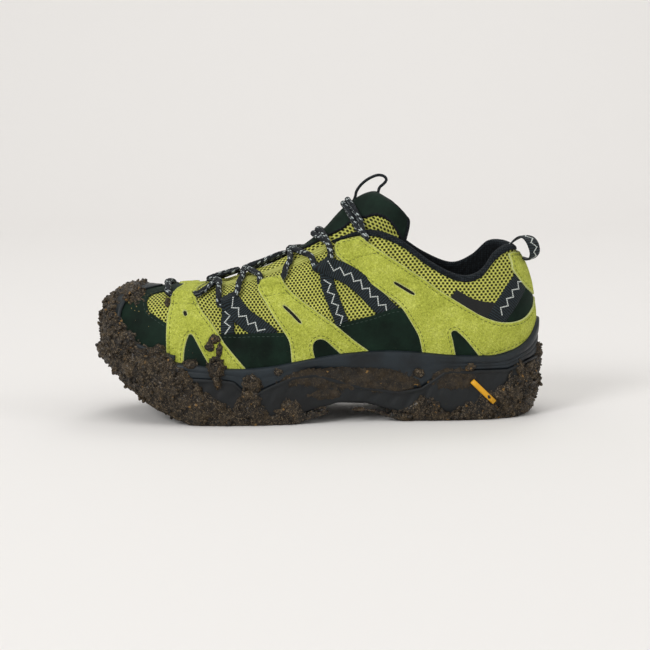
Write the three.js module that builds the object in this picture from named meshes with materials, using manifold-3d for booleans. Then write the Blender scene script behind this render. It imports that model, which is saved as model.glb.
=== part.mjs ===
// Low-cut walking shoe for the left foot, 300 mm long outside.
// Frame, in millimetres: toe to -X, heel to +X, outer side of the foot to -Y, +Z up.
// The lugs of the heel and of the ball stand on z = 0.

import * as THREE from 'three';
import { mergeVertices } from 'three/addons/utils/BufferGeometryUtils.js';
import Module from 'manifold-3d';

const wasm = await Module();
wasm.setup();

// ---- driving dimensions

const GAP = 0.3; // clearance between pieces that touch
const FACET = 0.3; // extra clearance where two faceted curves lie against each other
const WALL = 2; // upper: mesh and suede on their backing
const RIM = 3.6; // thickness of the midsole's wall around the upper
const WRAP = 2.6; // thickness of the outsole's wall around the midsole
const LUG = 5; // height of the lugs
const WEB = 3.5; // outsole rubber above the lugs
const BUMPER = 2.2; // rubber toe cap
const WEBBING = 1.3; // thickness of woven tape
const LACE = 4.2; // diameter of the lace
const CORD = 2; // diameter of the cord on the tongue
const LINING = 6; // padding inside the collar, at its thickest
const LINING_THIN = 2; // and at its two front ends
const LINING_REACH = 6.5; // ribs from the heel to each front end of the collar's padding
const NARROW_TAPE = 9;
const WIDE_TAPE = 13;
const HEEL_TAPE = 14;
const PULL_TAPE = 12;
const LUG_PITCH = 13; // from one row of lugs to the next
const BUMPER_REACH = 3.5; // ribs from the middle of the toe to each end of the toe cap
const INSOLE = 3.5; // thickness of the insole at its edge
const TONGUE_DEPTH = -(WALL + 1.3); // how far the tongue's wings lie under the upper's face

const COLUMNS_PER_RIB = 2;
const UPPER_ROWS = 7; // above the midsole's rim
const TONGUE_COLUMNS = 10;
const BUMPER_ROWS = 6;
const CORD_SIDES = 8;
const LACE_STEPS = 9;
const MIDDLE = [0.2, -1.79]; // middle of the shoe's box before it is moved to the origin

// Ribs of the upper, from the middle of the heel along the sides to the toe.
// foot: x, outer y, inner y of the line where the upper meets the midsole
// flare: how far the sole stands out past the foot line
// bulge, brow: the two handles of the rib, as distance out and height
// edge: x, y and z of the topline or throat, and how much higher it is on the inner side
// rim: height of the midsole's rim
const rib = (foot, flare, bulge, brow, edge, rim) => ({ foot, flare, bulge, brow, edge, rim });
const RIBS = [
  rib([143, 0, 0], 6.5, [8, 60], [12.5, 96], [133.5, 0, 112, 0], 66),
  rib([137, 17, 17], 5.6, [7, 60], [10, 94], [127, 13, 112.5, 1.5], 53),
  rib([122, 27.5, 27.5], 5, [7.5, 60], [7, 88], [117.5, 21.5, 107.5, 4.5], 45),
  rib([104, 33.5, 33], 5, [7, 60], [5, 80], [106, 28, 95.5, 6], 44),
  rib([84, 35.5, 32.5], 5, [6, 60], [4, 80], [92, 31.5, 93.5, 3], 45),
  rib([62, 36, 31], 5, [5, 60], [5, 85], [73, 32, 102.5, 1.5], 47),
  rib([40, 37, 31], 5, [5, 60], [6, 95], [50, 30, 118.5, 0], 48),
  rib([15, 40.5, 32.5], 4.8, [4, 60], [9, 105], [28, 26, 124, 0], 47),
  rib([-12, 46, 38], 4.6, [4, 60], [14, 105], [5, 23, 117.5, 0], 43.5),
  rib([-38, 49.5, 45], 5, [4, 60], [19, 98], [-20, 19, 105, 0], 39),
  rib([-62, 50, 46.5], 5, [4, 62], [21, 91], [-46, 15, 95.5, 0], 38),
  rib([-86, 47.5, 45], 6, [5, 66], [24, 87], [-63, 10.5, 91, 0], 40.5),
  rib([-109, 40, 42], 7, [8, 75], [29, 85], [-72, 6.5, 89.6, 0], 43),
  rib([-127, 28, 33], 8, [12, 84], [36, 84], [-75.5, 3.6, 89.2, 0], 45),
  rib([-137, 13, 21], 8.8, [14, 90], [43, 84], [-76.8, 1.6, 89, 0], 47),
  rib([-141, -4, 4], 9, [15, 92], [46, 84.5], [-77, 0, 89, 0], 48),
];

// Heights along the shoe, as [x, z]: the ground under the lugs, the foot bed, and
// the wavy top edge of the outsole's wrap
const GROUND = [
  [-150, 40], [-140, 30.5], [-128, 21], [-112, 11], [-96, 3.6], [-86, 0], [-20, 0],
  [-8, 4], [10, 8.5], [30, 7.5], [44, 3], [54, 0], [130, 0], [141, 3], [151, 9],
];
const FOOT_BED = [
  [-150, 41], [-141, 38], [-128, 33.5], [-112, 29], [-90, 25.5], [-60, 24], [-20, 25.5],
  [20, 30], [60, 34], [150, 34],
];
const WAVE = [
  [-152, 45], [-140, 41], [-124, 36], [-100, 32], [-69, 31], [-59, 29.5], [-54, 25], [-47, 15],
  [-42.5, 23], [-31, 28], [-19, 32.5], [-5, 33.5], [10, 29], [27, 23.5], [52, 20.3], [66, 22.7],
  [73, 27.5], [82, 33.7], [105, 34], [125, 33.5], [140, 38.5], [152, 41],
];

// Tongue, from under the throat to its top: the middle of its face as x, z, then
// either the rib whose edge it lies under, or its own shoulder and side
const TONGUE = [
  { middle: [-84, 82.5], rib: 12.9 },
  { middle: [-72, 86.6], rib: 12 },
  { middle: [-60, 92], rib: 11 },
  { middle: [-48, 97], rib: 10 },
  { middle: [-34, 102.5], rib: 9.4 },
  { middle: [-20, 109.5], rib: 8.9 },
  { middle: [-8, 117], rib: 8.3 },
  { middle: [3, 126], rib: 7.6 },
  { middle: [12, 136], shoulder: [26, 20, 125], side: [42, 21.5, 102] },
  { middle: [20, 143.5], shoulder: [36, 20, 131], side: [51, 21, 112] },
  { middle: [28, 148.5], shoulder: [42, 20, 138], side: [55.5, 21, 125] },
  { middle: [35, 151], shoulder: [46, 20, 143.5], side: [57, 20.5, 133.5] },
  { middle: [38.5, 150.8], shoulder: [48, 19, 144.5], side: [56.5, 19, 137] },
];

// Tapes on the upper's face, as lists of [rib, t]: each lace loop is a narrow tape and a
// wide one that meet under the lace
const FRONT_LOOP = [
  [[10.36, 0.36], [10.45, 0.5], [10.5, 0.64]],
  [[10.46, 0.655], [10, 0.5], [9.15, 0.35]],
];
const REAR_LOOP = [
  [[7.35, 0.4], [7.85, 0.6], [8.05, 0.755]],
  [[8.05, 0.765], [7.1, 0.66], [6.15, 0.56]],
];
const HEEL_STRAP = [[0.9, 0.68], [1.5, 0.57], [2.15, 0.48]];

// Loop at the back of the collar: its middle line as distance behind PULL_LOOP_FOOT's x, and
// height. It starts on the binding, ends against the upper, and turns to the outer side between.
const PULL_LOOP_FOOT = 133.5;
const PULL_LOOP = [
  [-2.7, 115.6], [1.5, 118.6], [6, 120.4], [11, 119.6], [14.6, 116], [15.2, 111], [12.6, 107.2],
  [9, 105.8], [6.6, 106.6],
];
const PULL_LOOP_TURN = 46; // degrees, at the middle of the loop

// Lace. Places on the upper are [rib, t]; those over the tongue are x, y, z.
const LACE_LIFT = LACE / 2 + GAP + 0.7; // from the upper's face to the lace's middle
const FRONT_RUN = [[12.9, 0.66], [13.3, 0.76], [14.1, 0.84], [15, 0.86]];
const LACE_CROSSES = [
  { from: [[11.72, 0.7], [11.6, 0.84], [11.6, 0.97]], middle: [-75, 92.6],
    to: [[10.87, 0.68], [10.98, 0.8], [11.15, 0.96]] },
  { from: [[10.3, 0.72], [10.35, 0.85], [10.3, 0.97]], middle: [-51, 99],
    to: [[9.69, 0.78], [9.75, 0.88], [9.9, 0.97]] },
  { from: [[9.12, 0.79], [9.1, 0.89], [9, 0.98]], middle: [-21, 112.8],
    to: [[8.36, 0.8], [8.45, 0.89], [8.6, 0.98]] },
];
const LACE_BARS = [
  { edge: [[7.95, 0.87], [8, 0.98]], over: [[-0.6, 12, 123.2]], middle: [-3.5, 124.4] },
  { edge: [[6.92, 0.955], [7, 1]], over: [[24.4, 22, 131.4], [20, 12, 140.2]], middle: [16.9, 144.7] },
];
const BAR_STEP = [2.9, 2.6]; // x and z from one run of a bar to the other
const TONGUE_CORD = [
  [23.6, 0, 148], [24.6, 0, 152], [28, 0, 156.6], [33, 0, 160.4], [38.6, 0, 162.6],
  [43, 0, 162], [44.8, 0, 159.4], [42.8, 0, 156.6], [40.6, 0, 154.8], [39.6, 0, 152.8],
];

// ---- curves through the dimensions

function smoothstep(k) {
  return k * k * (3 - 2 * k);
}

// Height at x on a chain of straight lines through a list of [x, z]
function heightAt(list, x) {
  const last = list.length - 1;
  if (x <= list[0][0]) return list[0][1];
  if (x >= list[last][0]) return list[last][1];
  const i = list.findIndex((point) => point[0] > x) - 1;
  const k = (x - list[i][0]) / (list[i + 1][0] - list[i][0]);
  return list[i][1] + (list[i + 1][1] - list[i][1]) * k;
}

const groundAt = (x) => heightAt(GROUND, x);
const footBedAt = (x) => heightAt(FOOT_BED, x);
const waveAt = (x) => heightAt(WAVE, x);

// The loop of ribs: heel, outer side, toe, inner side
function ribLoop() {
  const rib = (r, side) => {
    const inner = side > 0;
    const y = inner ? r.foot[2] : -r.foot[1];
    const lift = inner ? r.edge[3] : 0;
    return [
      r.foot[0], y, r.flare, ...r.bulge, ...r.brow,
      r.edge[0], side * r.edge[1], r.edge[2] + lift, r.rim,
    ];
  };
  const outer = RIBS.map((r) => rib(r, -1));
  const inner = RIBS.slice(1, -1).map((r) => rib(r, 1));
  return [...outer, ...inner.reverse()];
}

const LOOP = ribLoop();
const TOE = RIBS.length - 1;
const COLUMNS = LOOP.length * COLUMNS_PER_RIB;

// All measures of the rib at place s, by a closed Catmull-Rom curve
function ribAt(s) {
  const count = LOOP.length;
  const i = Math.floor(s);
  const k = s - i;
  const pick = (j) => LOOP[(((i + j) % count) + count) % count];
  const [a, b, c, d] = [pick(-1), pick(0), pick(1), pick(2)];
  return b.map((_, n) => {
    const slope = (c[n] - a[n]) * k;
    const bend = (2 * a[n] - 5 * b[n] + 4 * c[n] - d[n]) * k * k;
    const twist = (3 * b[n] - a[n] - 3 * c[n] + d[n]) * k * k * k;
    return b[n] + 0.5 * (slope + bend + twist);
  });
}

// Unit vector pointing out of the foot line at place s
function outwardAt(s) {
  const step = 0.02;
  const before = ribAt(s - step);
  const after = ribAt(s + step);
  return new THREE.Vector2(before[1] - after[1], after[0] - before[0]).normalize();
}

// Point of the sole's plan outline at place s, set in by a distance, at height z(x)
function outlinePoint(s, inset, height) {
  const rib = ribAt(s);
  const out = outwardAt(s).multiplyScalar(rib[2] - inset);
  const x = rib[0] + out.x;
  return new THREE.Vector3(x, rib[1] + out.y, height(x));
}

// Point of the upper's outer face: s goes round the shoe, t from foot line to topline
function facePoint(s, t) {
  const [x, y, , bulge, bulgeZ, brow, browZ, edgeX, edgeY, edgeZ] = ribAt(s);
  const out = outwardAt(s);
  const base = footBedAt(x) + GAP;
  const rib = new THREE.CubicBezierCurve3(
    new THREE.Vector3(x, y, base),
    new THREE.Vector3(x + out.x * bulge, y + out.y * bulge, bulgeZ),
    new THREE.Vector3(edgeX + out.x * brow, edgeY + out.y * brow, browZ),
    new THREE.Vector3(edgeX, edgeY, edgeZ),
  );
  return rib.getPoint(t);
}

// Unit normal, and the direction up the rib, at (s, t)
function faceFrame(s, t) {
  const step = 0.02;
  const along = facePoint(s + step, t).sub(facePoint(s - step, t));
  const low = Math.max(0, t - step);
  const high = Math.min(1, t + step);
  const up = facePoint(s, high).sub(facePoint(s, low)).normalize();
  const normal = new THREE.Vector3().crossVectors(up, along).normalize();
  return { normal, up };
}

// The upper's face moved out by a distance, or in by a negative one
function offsetPoint(s, t, distance) {
  return facePoint(s, t).addScaledVector(faceFrame(s, t).normal, distance);
}

// t at which the rib at place s reaches a height
function tAtHeight(s, z) {
  let low = 0;
  let high = 1;
  for (let i = 0; i < 24; i += 1) {
    const middle = (low + high) / 2;
    if (facePoint(s, middle).z < z) low = middle;
    else high = middle;
  }
  return low;
}

// ---- making closed meshes

function geometryFrom(points, faces) {
  const geometry = new THREE.BufferGeometry();
  const flat = points.flatMap((p) => [p.x, p.y, p.z]);
  geometry.setAttribute('position', new THREE.Float32BufferAttribute(flat, 3));
  geometry.setIndex(faces.flat());
  return outward(geometry);
}

// Turns the faces round where the enclosed volume comes out negative
function outward(geometry) {
  const p = geometry.getAttribute('position');
  const index = geometry.getIndex().array;
  const [a, b, c] = [new THREE.Vector3(), new THREE.Vector3(), new THREE.Vector3()];
  let volume = 0;
  for (let i = 0; i < index.length; i += 3) {
    a.fromBufferAttribute(p, index[i]);
    b.fromBufferAttribute(p, index[i + 1]);
    c.fromBufferAttribute(p, index[i + 2]);
    volume += a.dot(b.cross(c));
  }
  if (volume < 0) {
    for (let i = 0; i < index.length; i += 3) {
      [index[i + 1], index[i + 2]] = [index[i + 2], index[i + 1]];
    }
  }
  return geometry;
}

// Skin over closed rings of equal length. Either the last ring is joined to the first,
// or each end is capped by rungs from one half of its ring to the other.
function loft(rings, joinEnds = false) {
  const size = rings[0].length;
  const points = rings.flat();
  const faces = [];
  const bands = joinEnds ? rings.length : rings.length - 1;
  for (let r = 0; r < bands; r += 1) {
    const here = r * size;
    const next = ((r + 1) % rings.length) * size;
    for (let i = 0; i < size; i += 1) {
      const j = (i + 1) % size;
      faces.push([here + i, here + j, next + j], [here + i, next + j, next + i]);
    }
  }
  if (!joinEnds) {
    faces.push(...ladderCap(0, size, true));
    faces.push(...ladderCap((rings.length - 1) * size, size, false));
  }
  return geometryFrom(points, faces);
}

function ladderCap(start, size, flip) {
  const faces = [];
  for (let i = 0; i < size / 2; i += 1) {
    const a = start + i;
    const b = start + i + 1;
    const c = start + ((size - i - 1) % size);
    const d = start + ((size - i) % size);
    if (a !== d) faces.push(flip ? [a, d, b] : [a, b, d]);
    if (b !== c) faces.push(flip ? [b, d, c] : [b, c, d]);
  }
  return faces;
}

function toSolid(geometry) {
  const bare = geometry.clone();
  bare.deleteAttribute('normal');
  bare.deleteAttribute('uv');
  const merged = mergeVertices(bare, 1e-4);
  return new wasm.Manifold(new wasm.Mesh({
    numProp: 3,
    vertProperties: new Float32Array(merged.getAttribute('position').array),
    triVerts: new Uint32Array(merged.getIndex().array),
  }));
}

function toGeometry(solid) {
  const mesh = solid.getMesh();
  const geometry = new THREE.BufferGeometry();
  geometry.setAttribute('position', new THREE.Float32BufferAttribute(mesh.vertProperties, 3));
  geometry.setIndex(Array.from(mesh.triVerts));
  return geometry;
}

function joined(geometries) {
  const solids = geometries.map(toSolid);
  return toGeometry(solids.slice(1).reduce((all, one) => all.add(one), solids[0]));
}

// Round cord through the points
function cordGeometry(points, diameter, sides, steps) {
  const section = new THREE.Shape();
  section.absarc(0, 0, diameter / 2, 0, Math.PI * 2);
  return new THREE.ExtrudeGeometry(section, {
    steps,
    curveSegments: sides / 2,
    bevelEnabled: false,
    extrudePath: new THREE.CatmullRomCurve3(points),
  });
}

// Ring of the loop's columns
function ring(pointAt) {
  return Array.from({ length: COLUMNS }, (_, i) => pointAt(i / COLUMNS_PER_RIB));
}

// ---- sole

// The toe end of the outline turns up, so its lower edge is set further in
const lowerInset = (s) => 1.5 + 2 * Math.max(0, ribAt(s)[2] - 5.6);
const lugHeightAt = (x) => Math.min(LUG, Math.max(2.2, 2.2 + (x + 140) * 0.1));
const treadAt = (x) => groundAt(x) + lugHeightAt(x);
const soleFloorAt = (x) => Math.min(groundAt(x) + LUG + WEB, footBedAt(x) - 3.5);

function lugPrism(corners) {
  const shape = new THREE.Shape(corners.map(([x, y]) => new THREE.Vector2(x, y)));
  const prism = new THREE.ExtrudeGeometry(shape, { depth: 60, bevelEnabled: false });
  return prism.translate(0, 0, -5);
}

// One row of tread: a block at each edge and an arrow in the middle, pointing to 'ahead'
function lugRow(x, ahead) {
  const edgeBlock = (side) => [
    [x - 4.4, side * 60], [x + 4.4, side * 60],
    [x + 4.4 + ahead * 3, side * 24], [x + ahead * 3, side * 20.5], [x - 4.4 + ahead * 3, side * 24],
  ];
  const arrow = [
    [x + ahead * 5, 0], [x - ahead * 1, 13], [x - ahead * 7, 16],
    [x - ahead * 3, 0], [x - ahead * 7, -16], [x - ahead * 1, -13],
  ];
  return [edgeBlock(-1), edgeBlock(1), arrow].map(lugPrism);
}

function lugs() {
  const rows = [];
  for (let x = -126; x <= -20; x += LUG_PITCH) rows.push(...lugRow(x, -1));
  for (let x = 64; x <= 140; x += LUG_PITCH) rows.push(...lugRow(x, 1));
  const layer = loft([
    ring((s) => outlinePoint(s, lowerInset(s) + 0.6, groundAt)),
    ring((s) => outlinePoint(s, lowerInset(s) + 0.4, (x) => treadAt(x) + 1)),
  ]);
  return toSolid(joined(rows)).intersect(toSolid(layer));
}

function outsole() {
  const shoulderAt = (x) => Math.max(treadAt(x) + 3, waveAt(x) - 12);
  const cup = loft([
    ring((s) => outlinePoint(s, lowerInset(s), treadAt)),
    ring((s) => outlinePoint(s, 0.3 * lowerInset(s), shoulderAt)),
    ring((s) => outlinePoint(s, 0, waveAt)),
    ring((s) => outlinePoint(s, WRAP, waveAt)),
    ring((s) => outlinePoint(s, WRAP + 0.5 * lowerInset(s), soleFloorAt)),
  ]);
  return toGeometry(toSolid(cup).add(lugs()));
}

function midsole() {
  const rimT = (s) => tAtHeight(s, ribAt(s)[10]);
  const rimTop = (s) => offsetPoint(s, rimT(s), GAP + FACET);
  const rimEdge = (s) => offsetPoint(s, rimT(s), RIM).add(new THREE.Vector3(0, 0, -1));
  const side = (s) => {
    const low = outlinePoint(s, 0.8, (x) => waveAt(x) + GAP);
    return rimEdge(s).lerp(low, 0.45).add(new THREE.Vector3(0, 0, -0.5));
  };
  const atFootLine = (s, distance) => {
    const p = offsetPoint(s, 0, distance);
    return p.setZ(footBedAt(p.x));
  };
  return loft([
    ring((s) => atFootLine(s, GAP + FACET)),
    ring((s) => offsetPoint(s, rimT(s) / 2, GAP + FACET)),
    ring(rimTop),
    ring(rimEdge),
    ring(side),
    ring((s) => outlinePoint(s, 0.8, (x) => waveAt(x) + GAP)),
    ring((s) => outlinePoint(s, WRAP + GAP, (x) => waveAt(x) + GAP)),
    ring((s) => outlinePoint(s, WRAP + 0.5 * lowerInset(s) + GAP, (x) => soleFloorAt(x) + GAP)),
  ]);
}

function insole() {
  const inside = (s, t, extra, lift) => {
    const p = offsetPoint(s, t, -(WALL + FACET + extra));
    return p.setZ(footBedAt(p.x) + lift);
  };
  return loft([
    ring((s) => inside(s, 0, 1.4, GAP)),
    ring((s) => inside(s, 0, 1.4, INSOLE)),
    ring((s) => inside(s, 0, 4, 5)),
  ]);
}

// ---- upper and what lies in it

function upperRows(s) {
  const rim = tAtHeight(s, ribAt(s)[10]);
  const above = Array.from({ length: UPPER_ROWS + 1 }, (_, n) => rim + (1 - rim) * (n / UPPER_ROWS));
  return [0, rim / 2, ...above];
}

function upper() {
  const rows = upperRows(0).map((_, n) => n);
  const outer = rows.map((n) => ring((s) => offsetPoint(s, upperRows(s)[n], 0)));
  const inner = rows.map((n) => ring((s) => offsetPoint(s, upperRows(s)[n], -WALL)));
  return loft([...outer, ...inner.reverse()], true);
}

// Padding inside the collar, rolled over the topline as its binding
function collarLining() {
  const steps = LINING_REACH * 2 * COLUMNS_PER_RIB;
  const back = -(WALL + GAP + 1.4 * FACET);
  const section = (s) => {
    const edge = facePoint(s, 1);
    const { normal, up } = faceFrame(s, 1);
    const roll = (across, above) => edge.clone()
      .addScaledVector(normal, across)
      .addScaledVector(up, above);
    const taper = smoothstep(Math.min(1, (LINING_REACH - Math.abs(s)) / 2));
    const pad = back - LINING_THIN - (LINING - LINING_THIN) * taper;
    return [
      offsetPoint(s, 0.52, back),
      offsetPoint(s, 0.7, back),
      offsetPoint(s, 0.86, back),
      roll(back, GAP + FACET),
      roll(0.2, GAP + FACET),
      roll(0.2, 2.4),
      roll(-2, 4),
      roll(-5, 3.6),
      roll(pad + 0.6, 0.5),
      offsetPoint(s, 0.84, pad),
      offsetPoint(s, 0.66, pad + 1.4),
      offsetPoint(s, 0.52, back - 1.2),
    ];
  };
  return loft(Array.from({ length: steps + 1 }, (_, i) => section(i / COLUMNS_PER_RIB - LINING_REACH)));
}

// Row of points across the tongue's face, from the outer side to the inner side
function tongueRow(station) {
  const middle = new THREE.Vector3(station.middle[0], 0, station.middle[1]);
  const wing = (side) => {
    if (station.rib) {
      const s = side < 0 ? station.rib : LOOP.length - station.rib;
      return [offsetPoint(s, 0.8, TONGUE_DEPTH), offsetPoint(s, 1, TONGUE_DEPTH)];
    }
    return [station.side, station.shoulder].map(([x, y, z]) => new THREE.Vector3(x, side * y, z));
  };
  const across = new THREE.CatmullRomCurve3([...wing(-1), middle, ...wing(1).reverse()]);
  return across.getPoints(TONGUE_COLUMNS);
}

function tongue() {
  const rows = TONGUE.map(tongueRow);
  const last = rows.length - 1;
  const rings = rows.map((row, r) => {
    const before = rows[Math.max(0, r - 1)];
    const after = rows[Math.min(last, r + 1)];
    const swell = 3.5 + 3.5 * smoothstep(r / last);
    const thick = r === last ? 3 : swell;
    const back = row.map((p, i) => {
      const along = after[i].clone().sub(before[i]);
      const across = row[Math.min(TONGUE_COLUMNS, i + 1)].clone().sub(row[Math.max(0, i - 1)]);
      const normal = across.cross(along).normalize();
      const edge = Math.abs(2 * i / TONGUE_COLUMNS - 1);
      return p.clone().addScaledVector(normal, thick * (1 - 0.6 * edge ** 4));
    });
    return [...row, ...back.reverse()];
  });
  return loft(rings);
}

// ---- overlays that stand proud of the upper

// Toe cap: low along the sides, with a peak over the middle of the toe
function toeBumper() {
  const steps = BUMPER_REACH * 2 * 3;
  const section = (i) => {
    const s = TOE + (i / steps) * 2 * BUMPER_REACH - BUMPER_REACH;
    const away = Math.abs(s - TOE);
    const low = tAtHeight(s, ribAt(s)[10] + 0.8) + 0.004;
    const peak = 0.72 * (1 - smoothstep(Math.min(1, away / 2.1)));
    const skirt = 0.3 * (1 - smoothstep(Math.min(1, away / (BUMPER_REACH + 0.3))));
    const high = low + 0.03 + Math.max(0, peak - low) * 0.85 + skirt * 0.35;
    const rows = Array.from({ length: BUMPER_ROWS + 1 }, (_, n) => low + (high - low) * (n / BUMPER_ROWS));
    const inner = rows.map((t) => offsetPoint(s, t, GAP + 3 * FACET));
    const outer = rows.map((t) => offsetPoint(s, t, GAP + 3 * FACET + BUMPER));
    return [...inner, ...outer.reverse()];
  };
  return loft(Array.from({ length: steps + 1 }, (_, i) => section(i)));
}

// Flat tape on the upper's face along a list of [s, t]; side -1 outer, 1 inner
function tape(places, width, side) {
  const s = (place) => (side < 0 ? place[0] : LOOP.length - place[0]);
  const path = new THREE.CatmullRomCurve3(places.map((p) => new THREE.Vector3(s(p), p[1], 0)));
  const steps = 3 * (places.length - 1);
  const rings = path.getPoints(steps).map((place, i, all) => {
    const a = all[Math.max(0, i - 1)];
    const b = all[Math.min(steps, i + 1)];
    const ahead = facePoint(b.x, b.y).sub(facePoint(a.x, a.y)).normalize();
    const { normal } = faceFrame(place.x, place.y);
    const across = new THREE.Vector3().crossVectors(normal, ahead);
    const at = (k, height) => facePoint(place.x, place.y)
      .addScaledVector(across, (k * width) / 2)
      .addScaledVector(normal, height - Math.abs(k) * 0.5);
    const bottom = GAP + 3 * FACET;
    return [
      at(-1, bottom), at(0, bottom), at(1, bottom),
      at(1, bottom + WEBBING), at(0, bottom + WEBBING), at(-1, bottom + WEBBING),
    ];
  });
  return loft(rings);
}

// Loop that holds the lace: a narrow and a wide tape that meet in a point
function laceLoop(narrow, wide, side) {
  return joined([tape(narrow, NARROW_TAPE, side), tape(wide, WIDE_TAPE, side)]);
}

// ---- tape, lace and cord off the surface

// Loop of tape at the back of the collar. Its ends lie square to the shoe and its middle is
// turned to the outer side.
function pullLoop() {
  const path = new THREE.CatmullRomCurve3(PULL_LOOP.map(([x, z]) => new THREE.Vector3(x, 0, z)));
  const steps = 12;
  const up = new THREE.Vector3(0, 0, 1);
  const rings = Array.from({ length: steps + 1 }, (_, i) => {
    const p = path.getPoint(i / steps);
    const ahead = path.getTangent(i / steps);
    const normal = new THREE.Vector3(-ahead.z, 0, ahead.x);
    const turn = -THREE.MathUtils.degToRad(PULL_LOOP_TURN) * Math.sin((Math.PI * i) / steps);
    const at = (side, height) => p.clone()
      .addScaledVector(normal, height)
      .setY((side * PULL_TAPE) / 2)
      .applyAxisAngle(up, turn);
    return [at(-1, 0), at(1, 0), at(1, WEBBING), at(-1, WEBBING)];
  });
  return loft(rings).translate(PULL_LOOP_FOOT, 0, 0);
}

// Place over the upper's face on one side, with the lace resting clear of it
function overFace([s, t], side) {
  return offsetPoint(side < 0 ? s : LOOP.length - s, t, LACE_LIFT);
}

function laceRun(points) {
  return cordGeometry(points, LACE, CORD_SIDES, LACE_STEPS);
}

// Two runs that cross over the middle of the tongue, joined where they touch
function laceCross({ from, middle, to }) {
  const run = (side) => laceRun([
    ...from.map((place) => overFace(place, side)),
    new THREE.Vector3(middle[0], 0, middle[1]),
    ...to.map((place) => overFace(place, -side)).reverse(),
  ]);
  return joined([run(-1), run(1)]);
}

// Two runs side by side, straight across from eyelet to eyelet
function laceBar({ edge, over, middle }) {
  const run = (k) => {
    const moved = (x, y, z) => new THREE.Vector3(x + k * BAR_STEP[0], y, z + k * BAR_STEP[1]);
    const half = (side) => [
      ...edge.map((place) => overFace(place, side)),
      ...over.map(([x, y, z]) => moved(x, side * y, z)),
    ];
    return laceRun([...half(-1), moved(middle[0], 0, middle[1]), ...half(1).reverse()]);
  };
  return joined([run(-0.5), run(0.5)]);
}

// One run across the toe side of the front band
function laceFront() {
  const half = (side) => FRONT_RUN.map((place) => overFace(place, side));
  return laceRun([...half(-1), ...half(1).reverse()]);
}

function tongueCord() {
  return cordGeometry(TONGUE_CORD.map((p) => new THREE.Vector3(...p)), CORD, CORD_SIDES, 14);
}

// ---- the shoe

const rubber = () => new THREE.MeshStandardMaterial({ color: 0x15181a, roughness: 0.75 });
const foam = () => new THREE.MeshStandardMaterial({ color: 0x2a3035, roughness: 0.8 });
const cap = () => new THREE.MeshStandardMaterial({ color: 0x3a4248, roughness: 0.6 });
const suede = () => new THREE.MeshStandardMaterial({ color: 0xa3ab3b, roughness: 0.95 });
const knit = () => new THREE.MeshStandardMaterial({ color: 0x17251f, roughness: 0.9 });
const lining = () => new THREE.MeshStandardMaterial({ color: 0x15181c, roughness: 0.9 });
const woven = () => new THREE.MeshStandardMaterial({ color: 0x1e2428, roughness: 0.85 });
const braid = () => new THREE.MeshStandardMaterial({ color: 0x20262a, roughness: 0.8 });

const shoe = new THREE.Group();

function addPiece(name, geometry, material) {
  const mesh = new THREE.Mesh(geometry, material);
  mesh.name = name;
  shoe.add(mesh);
}

addPiece('outsole', outsole(), rubber());
addPiece('midsole', midsole(), foam());
addPiece('insole', insole(), lining());
addPiece('upper', upper(), suede());
addPiece('tongue', tongue(), knit());
addPiece('collar_lining', collarLining(), lining());
addPiece('toe_bumper', toeBumper(), cap());

for (const [name, side] of [['outer', -1], ['inner', 1]]) {
  addPiece(`lace_loop_front_${name}`, laceLoop(...FRONT_LOOP, side), woven());
  addPiece(`lace_loop_rear_${name}`, laceLoop(...REAR_LOOP, side), woven());
  addPiece(`heel_strap_${name}`, tape(HEEL_STRAP, HEEL_TAPE, side), woven());
}
addPiece('pull_loop', pullLoop(), woven());

addPiece('lace_front', laceFront(), braid());
LACE_CROSSES.forEach((cross, i) => addPiece(`lace_cross_${i + 1}`, laceCross(cross), braid()));
LACE_BARS.forEach((bar, i) => addPiece(`lace_bar_${i + 1}`, laceBar(bar), braid()));
addPiece('tongue_cord', tongueCord(), braid());

shoe.position.set(-MIDDLE[0], -MIDDLE[1], 0);

export default shoe;
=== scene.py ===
"""Low-cut walking shoe for the left foot, muddy from use: suede bands over open mesh, webbing
lace loops, a padded collar and a lugged rubber sole.

Everything is made in millimetres on the last's own surface, where a place is (rib, t): the rib
number goes round the shoe from the heel (0) by the outer side to the toe (15) and back by the
inner side (30), and t goes from the foot line (0) to the topline or throat (1).
"""

import math

import bmesh
import bpy
import numpy as np
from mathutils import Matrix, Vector, noise
from mathutils.geometry import delaunay_2d_cdt


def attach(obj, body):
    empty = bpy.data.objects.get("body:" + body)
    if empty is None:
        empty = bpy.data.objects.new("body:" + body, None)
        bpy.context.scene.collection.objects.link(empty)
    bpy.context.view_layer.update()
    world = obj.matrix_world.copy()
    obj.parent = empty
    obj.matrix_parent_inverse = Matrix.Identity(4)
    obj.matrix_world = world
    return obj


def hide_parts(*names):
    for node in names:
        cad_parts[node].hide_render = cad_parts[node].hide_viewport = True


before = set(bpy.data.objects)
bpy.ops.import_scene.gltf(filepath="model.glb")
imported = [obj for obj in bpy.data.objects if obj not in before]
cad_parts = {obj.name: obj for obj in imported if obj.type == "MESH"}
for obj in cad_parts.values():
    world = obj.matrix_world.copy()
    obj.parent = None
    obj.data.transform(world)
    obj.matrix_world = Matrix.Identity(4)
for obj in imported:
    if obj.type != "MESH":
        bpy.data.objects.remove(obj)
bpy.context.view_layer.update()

MM = 0.001
MIDDLE = np.array([0.2, -1.79, 0.0])  # middle of the shoe's box, taken to the frame's origin
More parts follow.
